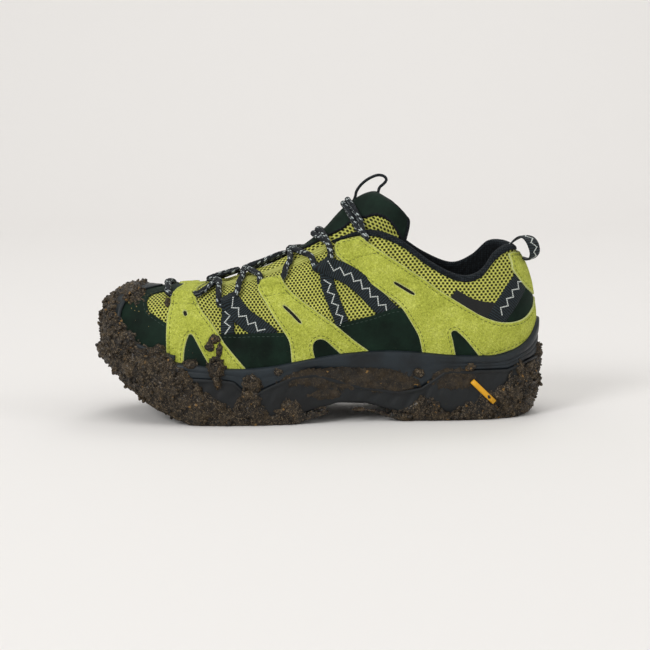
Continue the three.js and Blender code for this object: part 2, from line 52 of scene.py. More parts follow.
# Sizes in mm, apart from the toe cap's reach, which is in ribs to each side of the toe
GAP = 0.3
FACET = 0.3
WALL = 2.0
RIM = 3.6
WRAP = 2.6
LUG = 5.0
WEB = 3.5  # rubber above the lugs
UNDER_BED = 3.5  # least depth of the sole's floor below the foot bed
LUG_PITCH = 13
BUMPER = 2.2
BUMPER_REACH = 3.5
WEBBING = 1.2
LACE = 4.2
CORD = 2.0
LINING = 6.0
SUEDE = 1.5
MICROFIBRE = 0.8
SATIN = 0.6
SEAM = 2.3  # from a panel's edge to its stitches
TONGUE_DEPTH = -(WALL + 1.3)
LACE_LIFT = LACE / 2 + GAP + 0.7
TOE = 15
AROUND = 30

# One row a rib, heel to toe: x of the foot line, its outer and inner y, flare of the sole,
# how far out and how high the bulge and the brow are, x, y and z of the edge, how much higher
# the edge is on the inner side, and the height of the midsole's rim
RIBS = [
    (143, 0, 0, 6.5, 8, 60, 12.5, 96, 133.5, 0, 112, 0, 66),
    (137, 17, 17, 5.6, 7, 60, 10, 94, 127, 13, 112.5, 1.5, 53),
    (122, 27.5, 27.5, 5, 7.5, 60, 7, 88, 117.5, 21.5, 107.5, 4.5, 45),
    (104, 33.5, 33, 5, 7, 60, 5, 80, 106, 28, 95.5, 6, 44),
    (84, 35.5, 32.5, 5, 6, 60, 4, 80, 92, 31.5, 93.5, 3, 45),
    (62, 36, 31, 5, 5, 60, 5, 85, 73, 32, 102.5, 1.5, 47),
    (40, 37, 31, 5, 5, 60, 6, 95, 50, 30, 118.5, 0, 48),
    (15, 40.5, 32.5, 4.8, 4, 60, 9, 105, 28, 26, 124, 0, 47),
    (-12, 46, 38, 4.6, 4, 60, 14, 105, 5, 23, 117.5, 0, 43.5),
    (-38, 49.5, 45, 5, 4, 60, 19, 98, -20, 19, 105, 0, 39),
    (-62, 50, 46.5, 5, 4, 62, 21, 91, -46, 15, 95.5, 0, 38),
    (-86, 47.5, 45, 6, 5, 66, 24, 87, -63, 10.5, 91, 0, 40.5),
    (-109, 40, 42, 7, 8, 75, 29, 85, -72, 6.5, 89.6, 0, 43),
    (-127, 28, 33, 8, 12, 84, 36, 84, -75.5, 3.6, 89.2, 0, 45),
    (-137, 13, 21, 8.8, 14, 90, 43, 84, -76.8, 1.6, 89, 0, 47),
    (-141, -4, 4, 9, 15, 92, 46, 84.5, -77, 0, 89, 0, 48),
]

# Heights along the shoe, as (x, z): the ground under the lugs, the foot bed, and the wavy top
# edge of the outsole's wrap
GROUND = [
    (-150, 40), (-140, 30.5), (-128, 21), (-112, 11), (-96, 3.6), (-86, 0), (-20, 0),
    (-8, 4), (10, 8.5), (30, 7.5), (44, 3), (54, 0), (130, 0), (141, 3), (151, 9),
]
FOOT_BED = [
    (-150, 41), (-141, 38), (-128, 33.5), (-112, 29), (-90, 25.5), (-60, 24), (-20, 25.5),
    (20, 30), (60, 34), (150, 34),
]
WAVE = [
    (-152, 45), (-140, 41), (-124, 36), (-100, 32), (-69, 31), (-59, 29.5), (-54, 25), (-47, 15),
    (-42.5, 23), (-31, 28), (-19, 32.5), (-5, 33.5), (10, 29), (27, 23.5), (52, 20.3), (66, 22.7),
    (73, 27.5), (82, 33.7), (105, 34), (125, 33.5), (140, 38.5), (152, 41),
]

# Tongue, from under the throat to its top: (x, z) of the middle of its face, then either the
# rib whose edge it lies under, or its own shoulder and side
TONGUE = [
    ((-84, 82.5), 12.9), ((-72, 86.6), 12), ((-60, 92), 11), ((-48, 97), 10), ((-34, 102.5), 9.4),
    ((-20, 109.5), 8.9), ((-8, 117), 8.3), ((3, 126), 7.6),
    ((12, 136), (26, 20, 125), (42, 21.5, 102)),
    ((20, 143.5), (36, 20, 131), (51, 21, 112)),
    ((28, 148.5), (42, 20, 138), (55.5, 21, 125)),
    ((35, 151), (46, 20, 143.5), (57, 20.5, 133.5)),
    ((38.5, 150.8), (48, 19, 144.5), (56.5, 19, 137)),
]

TONGUE_CORD = [
    (23.6, 0, 148), (24.6, 0, 152), (28, 0, 156.6), (33, 0, 160.4), (38.6, 0, 162.6),
    (43, 0, 162), (44.8, 0, 159.4), (42.8, 0, 156.6), (40.6, 0, 154.8), (39.6, 0, 152.8),
]


# ---- curves

def unit(vectors):
    return vectors / np.maximum(np.linalg.norm(vectors, axis=-1, keepdims=True), 1e-9)


def smoothstep(k):
    k = np.clip(k, 0, 1)
    return k * k * (3 - 2 * k)


def run_length(points):
    """How far along a chain each of its points lies."""
    return np.concatenate([[0], np.cumsum(np.linalg.norm(np.diff(points, axis=0), axis=1))])


def height_at(table, x):
    table = np.array(table, float)
    return np.interp(x, table[:, 0], table[:, 1])


def catmull_rom(a, b, c, d, k):
    slope, bend = c - a, 2 * a - 5 * b + 4 * c - d
    return b + 0.5 * (slope * k + bend * k * k + (3 * b - a - 3 * c + d) * k ** 3)


def spline(points, places, closed=False):
    """Catmull-Rom curve through the points, at places counted in points."""
    points = np.asarray(points, float)
    count = len(points)
    if not closed:
        first, last = 2 * points[0] - points[1], 2 * points[-1] - points[-2]
        points = np.concatenate([[first], points, [last]])
        i = np.clip(np.floor(places).astype(int), 0, count - 2)
        a, b, c, d = [points[i + j] for j in range(4)]
    else:
        i = np.floor(places).astype(int)
        a, b, c, d = [points[(i + j) % count] for j in (-1, 0, 1, 2)]
    return catmull_rom(a, b, c, d, (places - i).reshape((-1,) + (1,) * (points.ndim - 1)))


def along(points, step, measure=None, closed=False):
    """The curve through the points, resampled at about equal steps of its measured length."""
    ends = len(points) if closed else len(points) - 1
    fine = spline(points, np.linspace(0, ends, ends * 24 + 1), closed)
    real = fine if measure is None else measure(fine)
    length = run_length(real)
    count = max(2, math.ceil(length[-1] / step) + 1)
    at = np.linspace(0, length[-1], count)
    return np.stack([np.interp(at, length, fine[:, n]) for n in range(fine.shape[1])], 1)


# ---- the last's surface

def rib_loop():
    def rib(r, side):
        y = r[2] if side > 0 else -r[1]
        lift = r[11] if side > 0 else 0
        return [r[0], y, *r[3:9], side * r[9], r[10] + lift, r[12]]
    outer = [rib(r, -1) for r in RIBS]
    inner = [rib(r, 1) for r in RIBS[1:-1]]
    return np.array(outer + inner[::-1], float)


LOOP = rib_loop()


def rib_at(s):
    return spline(LOOP, np.asarray(s, float).ravel(), closed=True)


def outward_at(s):
    step = 0.02
    before, after = rib_at(s - step), rib_at(s + step)
    return unit(np.stack([before[:, 1] - after[:, 1], after[:, 0] - before[:, 0]], 1))


def face(s, t):
    """Points of the upper's outer face."""
    s, t = np.broadcast_arrays(np.asarray(s, float), np.asarray(t, float))
    shape = s.shape
    s, t = s.ravel(), t.reshape(-1, 1)
    r, out = rib_at(s), outward_at(s)
    foot = np.column_stack([r[:, :2], height_at(FOOT_BED, r[:, 0]) + GAP])
    bulge = np.column_stack([r[:, :2] + out * r[:, 3:4], r[:, 4]])
    brow = np.column_stack([r[:, 7:9] + out * r[:, 5:6], r[:, 6]])
    edge = r[:, 7:10]
    u = 1 - t
    points = u ** 3 * foot + 3 * u * u * t * bulge + 3 * u * t * t * brow + t ** 3 * edge
    return points.reshape(shape + (3,))


def face_normal(s, t):
    step = 0.02
    s, t = np.broadcast_arrays(np.asarray(s, float), np.asarray(t, float))
    ahead = face(s + step, t) - face(s - step, t)
    up = face(s, np.minimum(1, t + step)) - face(s, np.maximum(0, t - step))
    return unit(np.cross(up, ahead))


def offset(s, t, distance):
    distance = np.asarray(distance, float)
    return face(s, t) + face_normal(s, t) * distance[..., None]


# Creases of wear: the two ends as (rib, t), depth and half width in mm. A
# shallow ridge lies beside each trough.
CREASES = [
    ((11.1, 0.56), (11.0, 0.95), 0.7, 3.2), ((10.6, 0.45), (10.0, 0.93), 0.9, 3.6),
    ((9.95, 0.30), (9.3, 0.70), 0.8, 4.0), ((9.3, 0.80), (8.6, 0.93), 0.6, 3.0),
    ((8.7, 0.32), (7.9, 0.60), 0.6, 4.5), ((6.9, 0.72), (5.6, 0.60), 0.6, 5.0),
    ((4.9, 0.78), (4.0, 0.52), 0.9, 4.0), ((3.6, 0.86), (3.1, 0.60), 0.8, 3.5),
    ((2.2, 0.92), (1.6, 0.60), 0.5, 3.5), ((6.2, 0.92), (5.3, 0.82), 0.5, 3.0),
]


def distance_to(path, points):
    """Distance from each point to a chain of straight pieces."""
    a, b = path[:-1], path[1:]
    run = b - a
    size = np.maximum((run * run).sum(1), 1e-12)
    best = np.full(len(points), 1e9)
    for start in range(0, len(points), 1500):
        p = points[start:start + 1500, None, :]
        k = np.clip(((p - a) * run).sum(2) / size, 0, 1)
        gap = np.linalg.norm(p - a - run * k[..., None], axis=2)
        best[start:start + 1500] = gap.min(1)
    return best


def crease_depth(points):
    depth = np.zeros(len(points))
    for (s0, t0), (s1, t1), deep, half in CREASES:
        for mirror in (False, True):
            ends = np.array([s0, s1])
            ribs = AROUND - ends if mirror else ends
            line = face(np.linspace(*ribs, 7), np.linspace(t0, t1, 7))
            away = distance_to(line, points) / half
            depth += deep * (0.45 * np.exp(-(away - 1.7) ** 2) - np.exp(-away ** 2))
    return depth


def skin(places, height):
    """Points over the creased upper: places are (rib, t), height is above its mesh."""
    base = face(places[:, 0], places[:, 1])
    lift = crease_depth(base) + height
    return base + face_normal(places[:, 0], places[:, 1]) * lift[:, None]


def both_sides(run, inner_at=AROUND):
    """A run of places on the outer side, and the same on the inner side, where ribs count down
    from inner_at."""
    return run, run * [-1, 1] + [inner_at, 0]


skin.scale = (24, 88)  # mm along the surface to one rib, and to the whole of t


def t_at_height(s, z):
    low, high = np.zeros(len(s)), np.ones(len(s))
    for _ in range(24):
        middle = (low + high) / 2
        below = face(s, middle)[:, 2] < z
        low, high = np.where(below, middle, low), np.where(below, high, middle)
    return low


# ---- making meshes

def grid_faces(rows, columns, join_rows=False, join_columns=False):
    r = np.arange(rows if join_rows else rows - 1)[:, None]
    c = np.arange(columns if join_columns else columns - 1)[None, :]
    r2, c2 = (r + 1) % rows, (c + 1) % columns
    quads = np.stack([r * columns + c, r * columns + c2, r2 * columns + c2, r2 * columns + c], -1)
    return quads.reshape(-1, 4).tolist()


def sheet(rings, join_rows=False, join_columns=False):
    """Skin over an array of rings, rows by columns by 3."""
    rows, columns = rings.shape[:2]
    return rings.reshape(-1, 3), grid_faces(rows, columns, join_rows, join_columns)


def capped(rings):
    """Closed body over rings that are joined round, with a face on each end."""
    rows, columns = rings.shape[:2]
    points, faces = sheet(rings, join_columns=True)
    last = (rows - 1) * columns
    return points, faces + [list(range(columns))[::-1], list(range(last, last + columns))]


def closed_layer(top, bottom, faces, chart):
    """Body between two sheets of the same faces, with a wall round their edge."""
    count, corners = len(top), faces.shape[1]
    sides = np.concatenate([faces[:, [n, (n + 1) % corners]] for n in range(corners)])
    _, first, uses = np.unique(np.sort(sides, 1), axis=0, return_index=True, return_counts=True)
    rim = sides[first[uses == 1]]
    wall = np.column_stack([rim[:, 1], rim[:, 0], rim[:, 0] + count, rim[:, 1] + count])
    every_face = faces.tolist() + (faces[:, ::-1] + count).tolist() + wall.tolist()
    return np.concatenate([top, bottom]), every_face, np.tile(chart, (2, 1))


def joined(parts):
    """One list of points and faces from several, with each part's maps in a row."""
    points, faces, maps, start = [], [], [], 0
    for part in parts:
        points.append(part[0])
        faces += [[start + i for i in f] for f in part[1]]
        if len(part) > 2:
            maps.append(part[2])
        start += len(part[0])
    result = [np.concatenate(points), faces]
    return result + [np.concatenate(maps)] if maps else result


def add_piece(name, part, materials, slot, *nodes, pick=None):
    """An object from points in mm, faces and, where the part has one, a UV for each point. It
    rides on the shoe. nodes are the solids it stands for, and pick is each face's material."""
    points, faces = part[:2]
    chart = part[2] if len(part) > 2 else None
    mesh = bpy.data.meshes.new(name)
    mesh.from_pydata(((points - MIDDLE) * MM).tolist(), [], faces)
    if chart is not None:
        layer = mesh.uv_layers.new(name="chart")
        corners = np.zeros(len(mesh.loops), int)
        mesh.loops.foreach_get("vertex_index", corners)
        layer.data.foreach_set("uv", chart[corners].astype(np.float32).ravel())
    shell = bmesh.new()
    shell.from_mesh(mesh)
    bmesh.ops.recalc_face_normals(shell, faces=shell.faces)
    shell.to_mesh(mesh)
    shell.free()
    materials = materials if isinstance(materials, list) else [materials]
    for material in materials:
        mesh.materials.append(material)
    if pick is not None:
        mesh.polygons.foreach_set("material_index", np.asarray(pick, np.int32))
    mesh.polygons.foreach_set("use_smooth", np.full(len(mesh.polygons), True))
    piece = bpy.data.objects.new(name, mesh)
    bpy.context.scene.collection.objects.link(piece)
    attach(piece, "root")
    if nodes:
        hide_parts(*nodes)
    return piece


def tube(path, radius, sides, shape=None):
    """Round tube along a path of points. shape gives each point's own factor on the radius."""
    tangent = unit(np.gradient(path, axis=0))
    side = np.zeros_like(path)
    side[0] = unit(np.cross(tangent[0], [0.3, 0.2, 0.9]))
    for i in range(1, len(path)):
        flat = side[i - 1] - tangent[i] * (side[i - 1] @ tangent[i])
        side[i] = unit(flat)
    other = np.cross(tangent, side)
    turn = np.linspace(0, 2 * math.pi, sides, endpoint=False)
    size = np.full((len(path), sides), float(radius)) if shape is None else radius * shape
    ring = side[:, None] * np.cos(turn)[:, None] + other[:, None] * np.sin(turn)[:, None]
    rings = path[:, None] + ring * size[..., None]
    length = run_length(path)
    chart = np.stack(np.broadcast_arrays(length[:, None], turn[None] / (2 * math.pi)), -1)
    return (*capped(rings), chart.reshape(-1, 2))


# ---- finishes

def linear(code):
    """Linear colour from an sRGB hex value."""
    parts = [int(code[i:i + 2], 16) / 255 for i in (1, 3, 5)]
    return (*[c / 12.92 if c <= 0.04045 else ((c + 0.055) / 1.055) ** 2.4 for c in parts], 1.0)


def add(tree, kind, inputs=None, output=None, stops=None, **settings):
    """Adds a node with its settings, sets or links its inputs, and returns one of its outputs.
    stops are the places and colours of a colour ramp."""
    new = tree.nodes.new("ShaderNode" + kind)
    for name, value in settings.items():
        setattr(new, name, value)
    for (at, code), n in zip(stops or [], range(len(stops or []))):
        stop = new.color_ramp.elements[n] if n < 2 else new.color_ramp.elements.new(at)
        stop.position, stop.color = at, linear(code)
    shown = [socket for socket in new.inputs if socket.enabled]
    for key, value in (inputs or {}).items():
        socket = shown[key] if isinstance(key, int) else [i for i in shown if i.name == key][0]
        if isinstance(value, bpy.types.NodeSocket):
            tree.links.new(value, socket)
        else:
            socket.default_value = value
    return new.outputs[output] if output else [o for o in new.outputs if o.enabled][0]


def finish_of(name):
    material = bpy.data.materials.new(name)
    material.use_nodes = True
    material.node_tree.nodes.clear()
    return material, material.node_tree


def surface_of(tree, colour, roughness, height=None, depth=0.0, **constants):
    """The shader and its output. height is in 0 to 1 and depth is what 1 stands for, in mm."""
    inputs = {"Base Color": colour, "Roughness": roughness}
    inputs |= {name.replace("_", " "): value for name, value in constants.items()}
    if height is not None:
        inputs["Normal"] = add(tree, "Bump", {"Height": height, "Distance": depth * MM,
                                              "Strength": 1.0})
    shader = add(tree, "BsdfPrincipled", inputs)
    end = tree.nodes.new("ShaderNodeOutputMaterial")
    tree.links.new(shader, end.inputs["Surface"])


def every(size):
    """Scale of a noise whose blots are about this many mm apart."""
    return 1 / (size * MM)


def sanded_suede():
    """Split leather, sanded to a nap: matt, mottled where it is brushed, and paler at the raw
    cut edge. Fibres are drawn at 0.9 mm, coarser than the real ones."""
    material, tree = finish_of("sanded_suede")
    here = add(tree, "TexCoord", output="Object")
    brushed = add(tree, "TexNoise", {"Vector": here, "Scale": every(14), "Detail": 4.0,
                                     "Roughness": 0.65})
    nap = add(tree, "TexNoise", {"Vector": here, "Scale": every(1.7), "Detail": 4.0,
                                 "Roughness": 0.7, "Distortion": 0.6})
    tone = add(tree, "Mix", {"Factor": 0.55, "A": brushed, "B": nap}, data_type="FLOAT")
    hide = add(tree, "ValToRGB", {"Fac": tone},
               stops=[(0.3, "#8B9232"), (0.7, "#CDD36C"), (0.5, "#AFB64A")])
    margin = add(tree, "SeparateXYZ", {0: add(tree, "UVMap", uv_map="chart")}, output="X")
    cut = add(tree, "MapRange", {"Value": margin, "From Min": 0.15, "From Max": 0.9,
                                 "To Min": 0.7, "To Max": 0.0}, interpolation_type="SMOOTHSTEP")
    edged = add(tree, "Mix", {"Factor": cut, "A": hide, "B": linear("#C6CC92")},
                data_type="RGBA")
    fibres = add(tree, "TexNoise", {"Vector": here, "Scale": every(0.9), "Detail": 3.0})
    light = add(tree, "MapRange", {"Value": fibres, "From Min": 0.3, "From Max": 0.7,
                                   "To Min": 0.72, "To Max": 1.22})
    colour = add(tree, "Mix", {"Factor": 1.0, "A": edged, "B": light}, data_type="RGBA",
                 blend_type="MULTIPLY")
    surface_of(tree, colour, 0.95, fibres, 0.7, Specular_IOR_Level=0.2,
               Sheen_Weight=0.2, Sheen_Roughness=0.4, Sheen_Tint=linear("#C8CC80"))
    return material


def open_mesh():
    """Knitted air mesh: round holes in staggered rows with plump yarn between them. The holes are
    painted near black as shade, and the yarn is painted paler away from them as a highlight on its
    crests.
    """
    material, tree = finish_of("open_mesh")
    chart = add(tree, "UVMap", uv_map="chart")
    nearest = []
    for shift in (0.0, 0.5):
        cell = add(tree, "VectorMath", {0: chart, 1: (1, 0.5, 0)}, operation="MULTIPLY")
        moved = add(tree, "VectorMath", {0: cell, 1: (shift, shift, 0)}, operation="ADD")
        part = add(tree, "VectorMath", {0: moved}, operation="FRACTION")
        middle = add(tree, "VectorMath", {0: part, 1: (0.5, 0.5, 0)}, operation="SUBTRACT")
        real = add(tree, "VectorMath", {0: middle, 1: (2.6, 3.8, 0)}, operation="MULTIPLY")
        nearest.append(add(tree, "VectorMath", {0: real}, output="Value", operation="LENGTH"))
    away = add(tree, "Math", {0: nearest[0], 1: nearest[1]}, operation="MINIMUM")
    here = add(tree, "TexCoord", output="Object")
    fray = add(tree, "TexNoise", {"Vector": here, "Scale": every(0.8), "Detail": 2.0})
    ragged = add(tree, "Math", {0: fray, 1: 0.35, 2: away}, operation="MULTIPLY_ADD")
    # Painted shade and highlight: near black in the holes, darker olive at their rims, palest on
    # the yarn farthest from a hole.
    colour = add(tree, "ValToRGB", {"Fac": add(tree, "Math", {0: ragged, 1: 0.6},
                                               operation="MULTIPLY")},
                 stops=[(0.36, "#0C0E06"), (0.95, "#DBDB80"), (0.5, "#6A6E28"),
                        (0.66, "#B9BB4A")])
    dusty = add(tree, "TexNoise", {"Vector": here, "Scale": every(18), "Detail": 3.0})
    shade = add(tree, "MapRange", {"Value": dusty, "From Min": 0.3, "From Max": 0.7,
                                   "To Min": 0.82, "To Max": 1.06})
    tinted = add(tree, "Mix", {"Factor": 1.0, "A": colour, "B": shade}, data_type="RGBA",
                 blend_type="MULTIPLY")
    raised = add(tree, "MapRange", {"Value": ragged, "From Min": 0.55, "From Max": 1.3},
                 interpolation_type="SMOOTHSTEP")
    surface_of(tree, tinted, 0.8, raised, 0.8, Specular_IOR_Level=0.25)
    return material


def throat_facing():
    """Close woven facing folded over the throat's edge: fine slanting threads, drawn about
    1.2 mm apart, coarser than the real ones."""
    material, tree = finish_of("throat_facing")
    here = add(tree, "TexCoord", output="Object")
    threads = add(tree, "TexWave", {"Vector": here, "Scale": every(3.2), "Distortion": 1.5,
                                    "Detail": 1.0}, bands_direction="DIAGONAL")
    colour = add(tree, "ValToRGB", {"Fac": threads},
                 stops=[(0.1, "#868A36"), (0.9, "#C9CB78"), (0.5, "#B0B351")])
    surface_of(tree, colour, 0.85, threads, 0.3, Specular_IOR_Level=0.2)
    return material


def microfibre(name, dark, light):
    """Smooth synthetic suede: dense, dark and matt, with a trace of sheen and faint rubbed
    places."""
    material, tree = finish_of(name)
    here = add(tree, "TexCoord", output="Object")
    rubbed = add(tree, "TexNoise", {"Vector": here, "Scale": every(22), "Detail": 5.0,
                                    "Roughness": 0.6})
    colour = add(tree, "ValToRGB", {"Fac": rubbed}, stops=[(0.35, dark), (0.7, light)])
    grain = add(tree, "TexNoise", {"Vector": here, "Scale": every(0.8), "Detail": 2.0})
    surface_of(tree, colour, 0.7, grain, 0.12, Specular_IOR_Level=0.12, Sheen_Weight=0.03,
               Sheen_Roughness=0.5, Sheen_Tint=linear("#3C5A4C"))
    return material


def woven_tape():
    """Nylon webbing, near black, with a painted highlight on the tops of its cross ribs, which are
    drawn 1.6 mm apart, coarser than the real ones."""
    material, tree = finish_of("woven_tape")
    chart = add(tree, "SeparateXYZ", {0: add(tree, "UVMap", uv_map="chart")}, output="X")
    turns = add(tree, "Math", {0: chart, 1: 2 * math.pi / 1.6}, operation="MULTIPLY")
    rib = add(tree, "Math", {0: turns}, operation="SINE")
    up = add(tree, "MapRange", {"Value": rib, "From Min": -1.0, "From Max": 1.0})
    here = add(tree, "TexCoord", output="Object")
    fuzz = add(tree, "TexNoise", {"Vector": here, "Scale": every(1.5), "Detail": 3.0})
    tone = add(tree, "Mix", {"Factor": 0.4, "A": up, "B": fuzz}, data_type="FLOAT")
    # Painted highlight: the crest of each cross rib is painted lighter, and fuzz adds random tone.
    colour = add(tree, "ValToRGB", {"Fac": tone}, stops=[(0.25, "#020405"), (0.8, "#223036")])
    surface_of(tree, colour, 0.7, up, 0.45, Specular_IOR_Level=0.3)
    return material


def braided_cord():
    """Braided polyester lace: dark strands that cross, with paired pale flecks along it."""
    material, tree = finish_of("braided_cord")
    chart = add(tree, "UVMap", uv_map="chart")
    length = add(tree, "SeparateXYZ", {0: chart}, output="X")
    turn = add(tree, "SeparateXYZ", {0: chart}, output="Y")
    strand = add(tree, "Math", {0: length, 1: 1 / 34, 2: turn}, operation="MULTIPLY_ADD")
    strands = add(tree, "Math", {0: strand, 1: 9.0}, operation="MULTIPLY")
    index = add(tree, "Math", {0: strands}, operation="FLOOR")
    in_pair = add(tree, "Math", {0: index, 1: 4.5}, operation="FLOORED_MODULO")
    marked = add(tree, "Math", {0: in_pair, 1: 1.75}, operation="LESS_THAN")
    across = add(tree, "Math", {0: add(tree, "Math", {0: strands}, operation="FRACT"), 1: 0.5,
                                2: 0.3}, operation="COMPARE")
    dash = add(tree, "Math", {0: index, 1: 0.13, 2: add(
        tree, "Math", {0: length, 1: 1 / 5.2}, operation="MULTIPLY")}, operation="MULTIPLY_ADD")
    lit = add(tree, "Math", {0: add(tree, "Math", {0: dash}, operation="FRACT"), 1: 0.45},
              operation="LESS_THAN")
    fleck = add(tree, "Math", {0: add(tree, "Math", {0: marked, 1: lit}, operation="MULTIPLY"),
                               1: across}, operation="MULTIPLY")
    here = add(tree, "TexCoord", output="Object")
    fuzz = add(tree, "TexNoise", {"Vector": here, "Scale": every(1.2), "Detail": 2.0})
    dark = add(tree, "ValToRGB", {"Fac": fuzz}, stops=[(0.3, "#0B0E10"), (0.75, "#262C31")])
    colour = add(tree, "Mix", {"Factor": fleck, "A": dark, "B": linear("#AAB3B2")},
                 data_type="RGBA")
    surface_of(tree, colour, 0.8, fuzz, 0.2, Specular_IOR_Level=0.25)
    return material


def sewing_thread(name, code):
    """Twisted polyester thread, a little glossy."""
    material, tree = finish_of(name)
    here = add(tree, "TexCoord", output="Object")
    twist = add(tree, "TexNoise", {"Vector": here, "Scale": every(0.7)})
    tint = add(tree, "MapRange", {"Value": twist, "From Min": 0.2, "From Max": 0.8,
                                  "To Min": 0.7, "To Max": 1.1})
    colour = add(tree, "Mix", {"Factor": 1.0, "A": linear(code), "B": tint}, data_type="RGBA",
                 blend_type="MULTIPLY")
    surface_of(tree, colour, 0.6, twist, 0.1, Specular_IOR_Level=0.4)
    return material


def moulded_rubber(name, dark, light, roughness):
    """Moulded rubber or foam: a fine mould grain, greyer where it is scuffed and dusty."""
    material, tree = finish_of(name)
    here = add(tree, "TexCoord", output="Object")
    scuffed = add(tree, "TexNoise", {"Vector": here, "Scale": every(26), "Detail": 7.0,
                                     "Roughness": 0.7})
    colour = add(tree, "ValToRGB", {"Fac": scuffed}, stops=[(0.38, dark), (0.72, light)])
    worn = add(tree, "MapRange", {"Value": scuffed, "From Min": 0.35, "From Max": 0.7,
                                  "To Min": roughness - 0.1, "To Max": roughness + 0.15})
    grain = add(tree, "TexNoise", {"Vector": here, "Scale": every(0.9), "Detail": 3.0})
    surface_of(tree, colour, worn, grain, 0.12, Specular_IOR_Level=0.35)
    return material


def spacer_knit(name, dark, light):
    """Brushed spacer knit of the lining: rows of small loops, drawn 1.4 mm apart."""
    material, tree = finish_of(name)
    here = add(tree, "TexCoord", output="Object")
    loops = add(tree, "TexVoronoi", {"Vector": here, "Scale": every(1.4), "Randomness": 0.35},
                output="Distance")
    colour = add(tree, "ValToRGB", {"Fac": loops}, stops=[(0.1, light), (0.6, dark)])
    surface_of(tree, colour, 0.9, loops, -0.3, Specular_IOR_Level=0.15, Sheen_Weight=0.08,
               Sheen_Tint=linear("#4A555D"))
    return material


def wet_soil(name, deep, mid, crumb, glint_colour, wet):
    """Wet loam stuck on, with bits of straw and a film of water that glints. Its colour holds
    painted shade, from deep in the cracks through mid to crumb on the tops, and painted glints,
    small pale flecks in glint_colour. The chart's first number is how far a place stands up."""
    material, tree = finish_of(name)
    here = add(tree, "TexCoord", output="Object")
    up = add(tree, "SeparateXYZ", {0: add(tree, "UVMap", uv_map="chart")}, output="X")
    grit = add(tree, "TexNoise", {"Vector": here, "Scale": every(1.2), "Detail": 5.0,
                                  "Roughness": 0.8})
    tone = add(tree, "Mix", {"Factor": 0.6, "A": up, "B": grit}, data_type="FLOAT")
    # Painted shade: the lower a place lies, the darker it is painted, and the tops of the crumbs
    # are painted paler.
    crevice_shaded_earth = add(tree, "ValToRGB", {"Fac": tone},
                     stops=[(0.32, deep), (0.74, crumb), (0.52, mid)])
    # Painted glints: small pale flecks scattered over the soil.
    glint_noise = add(tree, "TexNoise", {"Vector": here, "Scale": every(1.0), "Detail": 1.0,
                                    "Distortion": 1.5})
    painted_glints = add(tree, "MapRange", {"Value": glint_noise, "From Min": 0.57, "From Max": 0.66,
                                   "To Max": 0.85})
    earth = add(tree, "Mix", {"Factor": painted_glints, "A": crevice_shaded_earth, "B": linear(glint_colour)},
                data_type="RGBA")
    speck = add(tree, "TexVoronoi", {"Vector": here, "Scale": every(1.4)}, output="Color")
    pick = add(tree, "SeparateXYZ", {0: speck}, output="X")
    straw = add(tree, "Math", {0: pick, 1: 0.988}, operation="GREATER_THAN")
    colour = add(tree, "Mix", {"Factor": straw, "A": earth, "B": linear("#8A6836")},
                 data_type="RGBA")
    damp = add(tree, "TexNoise", {"Vector": here, "Scale": every(5), "Detail": 3.0})
    gloss = add(tree, "MapRange", {"Value": damp, "From Min": 0.35, "From Max": 0.65,
                                   "To Min": 0.35, "To Max": 0.9})
    surface_of(tree, colour, gloss, grit, 1.3, Specular_IOR_Level=0.35, Coat_Weight=wet,
               Coat_Roughness=0.15)
    return material


def plain(name, code, roughness):
    """Smooth matt paint of one colour."""
    material, tree = finish_of(name)
    surface_of(tree, linear(code), roughness)
    return material


def painted(name, code, roughness):
    """Printed or woven layer with a faint mottle."""
    material, tree = finish_of(name)
    here = add(tree, "TexCoord", output="Object")
    mottle = add(tree, "TexNoise", {"Vector": here, "Scale": every(6), "Detail": 4.0})
    shade = add(tree, "MapRange", {"Value": mottle, "From Min": 0.3, "From Max": 0.7,
                                   "To Min": 0.88, "To Max": 1.04})
    colour = add(tree, "Mix", {"Factor": 1.0, "A": linear(code), "B": shade}, data_type="RGBA",
                 blend_type="MULTIPLY")
    surface_of(tree, colour, roughness, mottle, 0.05)
    return material


# ---- sheets cut to an outline and laid on a surface

def flush(places):
    return np.zeros(len(places))


def lying(surface):
    """The surface itself, as a function of places alone."""
    return lambda places: surface(places, flush(places))


def edge_of(surface, loop):
    """Points of a loop, back to its first one."""
    return lying(surface)(np.vstack([loop, loop[:1]]))


def shifted(surface, path, distance, closed=False):
    """A path of places moved sideways over the surface, by a distance in mm."""
    points = surface(path, np.zeros(len(path)))
    if closed:
        ahead = np.roll(points, -1, 0) - np.roll(points, 1, 0)
    else:
        ahead = np.gradient(points, axis=0)
    up = surface(path, np.ones(len(path))) - points
    aside = unit(np.cross(up, ahead))
    step = 0.3 / np.array(surface.scale)
    flat = np.zeros(len(path))
    du = (surface(path + [step[0], 0], flat) - surface(path - [step[0], 0], flat)) / step[0] / 2
    dv = (surface(path + [0, step[1]], flat) - surface(path - [0, step[1]], flat)) / step[1] / 2
    uu, uv, vv = (du * du).sum(1), (du * dv).sum(1), (dv * dv).sum(1)
    bu, bv = (aside * du).sum(1), (aside * dv).sum(1)
    size = uu * vv - uv * uv
    move = np.column_stack([bu * vv - bv * uv, bv * uu - bu * uv]) / size[:, None]
    return path + move * np.reshape(distance, (-1, 1))


def inside(loops, places):
    hit = np.zeros(len(places), bool)
    u, v = places[:, :1], places[:, 1:]
    for loop in loops:
        a, b = loop, np.roll(loop, -1, 0)
        spans = (a[:, 1] > v) != (b[:, 1] > v)
        crossing = a[:, 0] + (v - a[:, 1]) * (b[:, 0] - a[:, 0]) / (b[:, 1] - a[:, 1] + 1e-12)
        hit ^= ((spans & (u < crossing)).sum(1) % 2).astype(bool)
    return hit


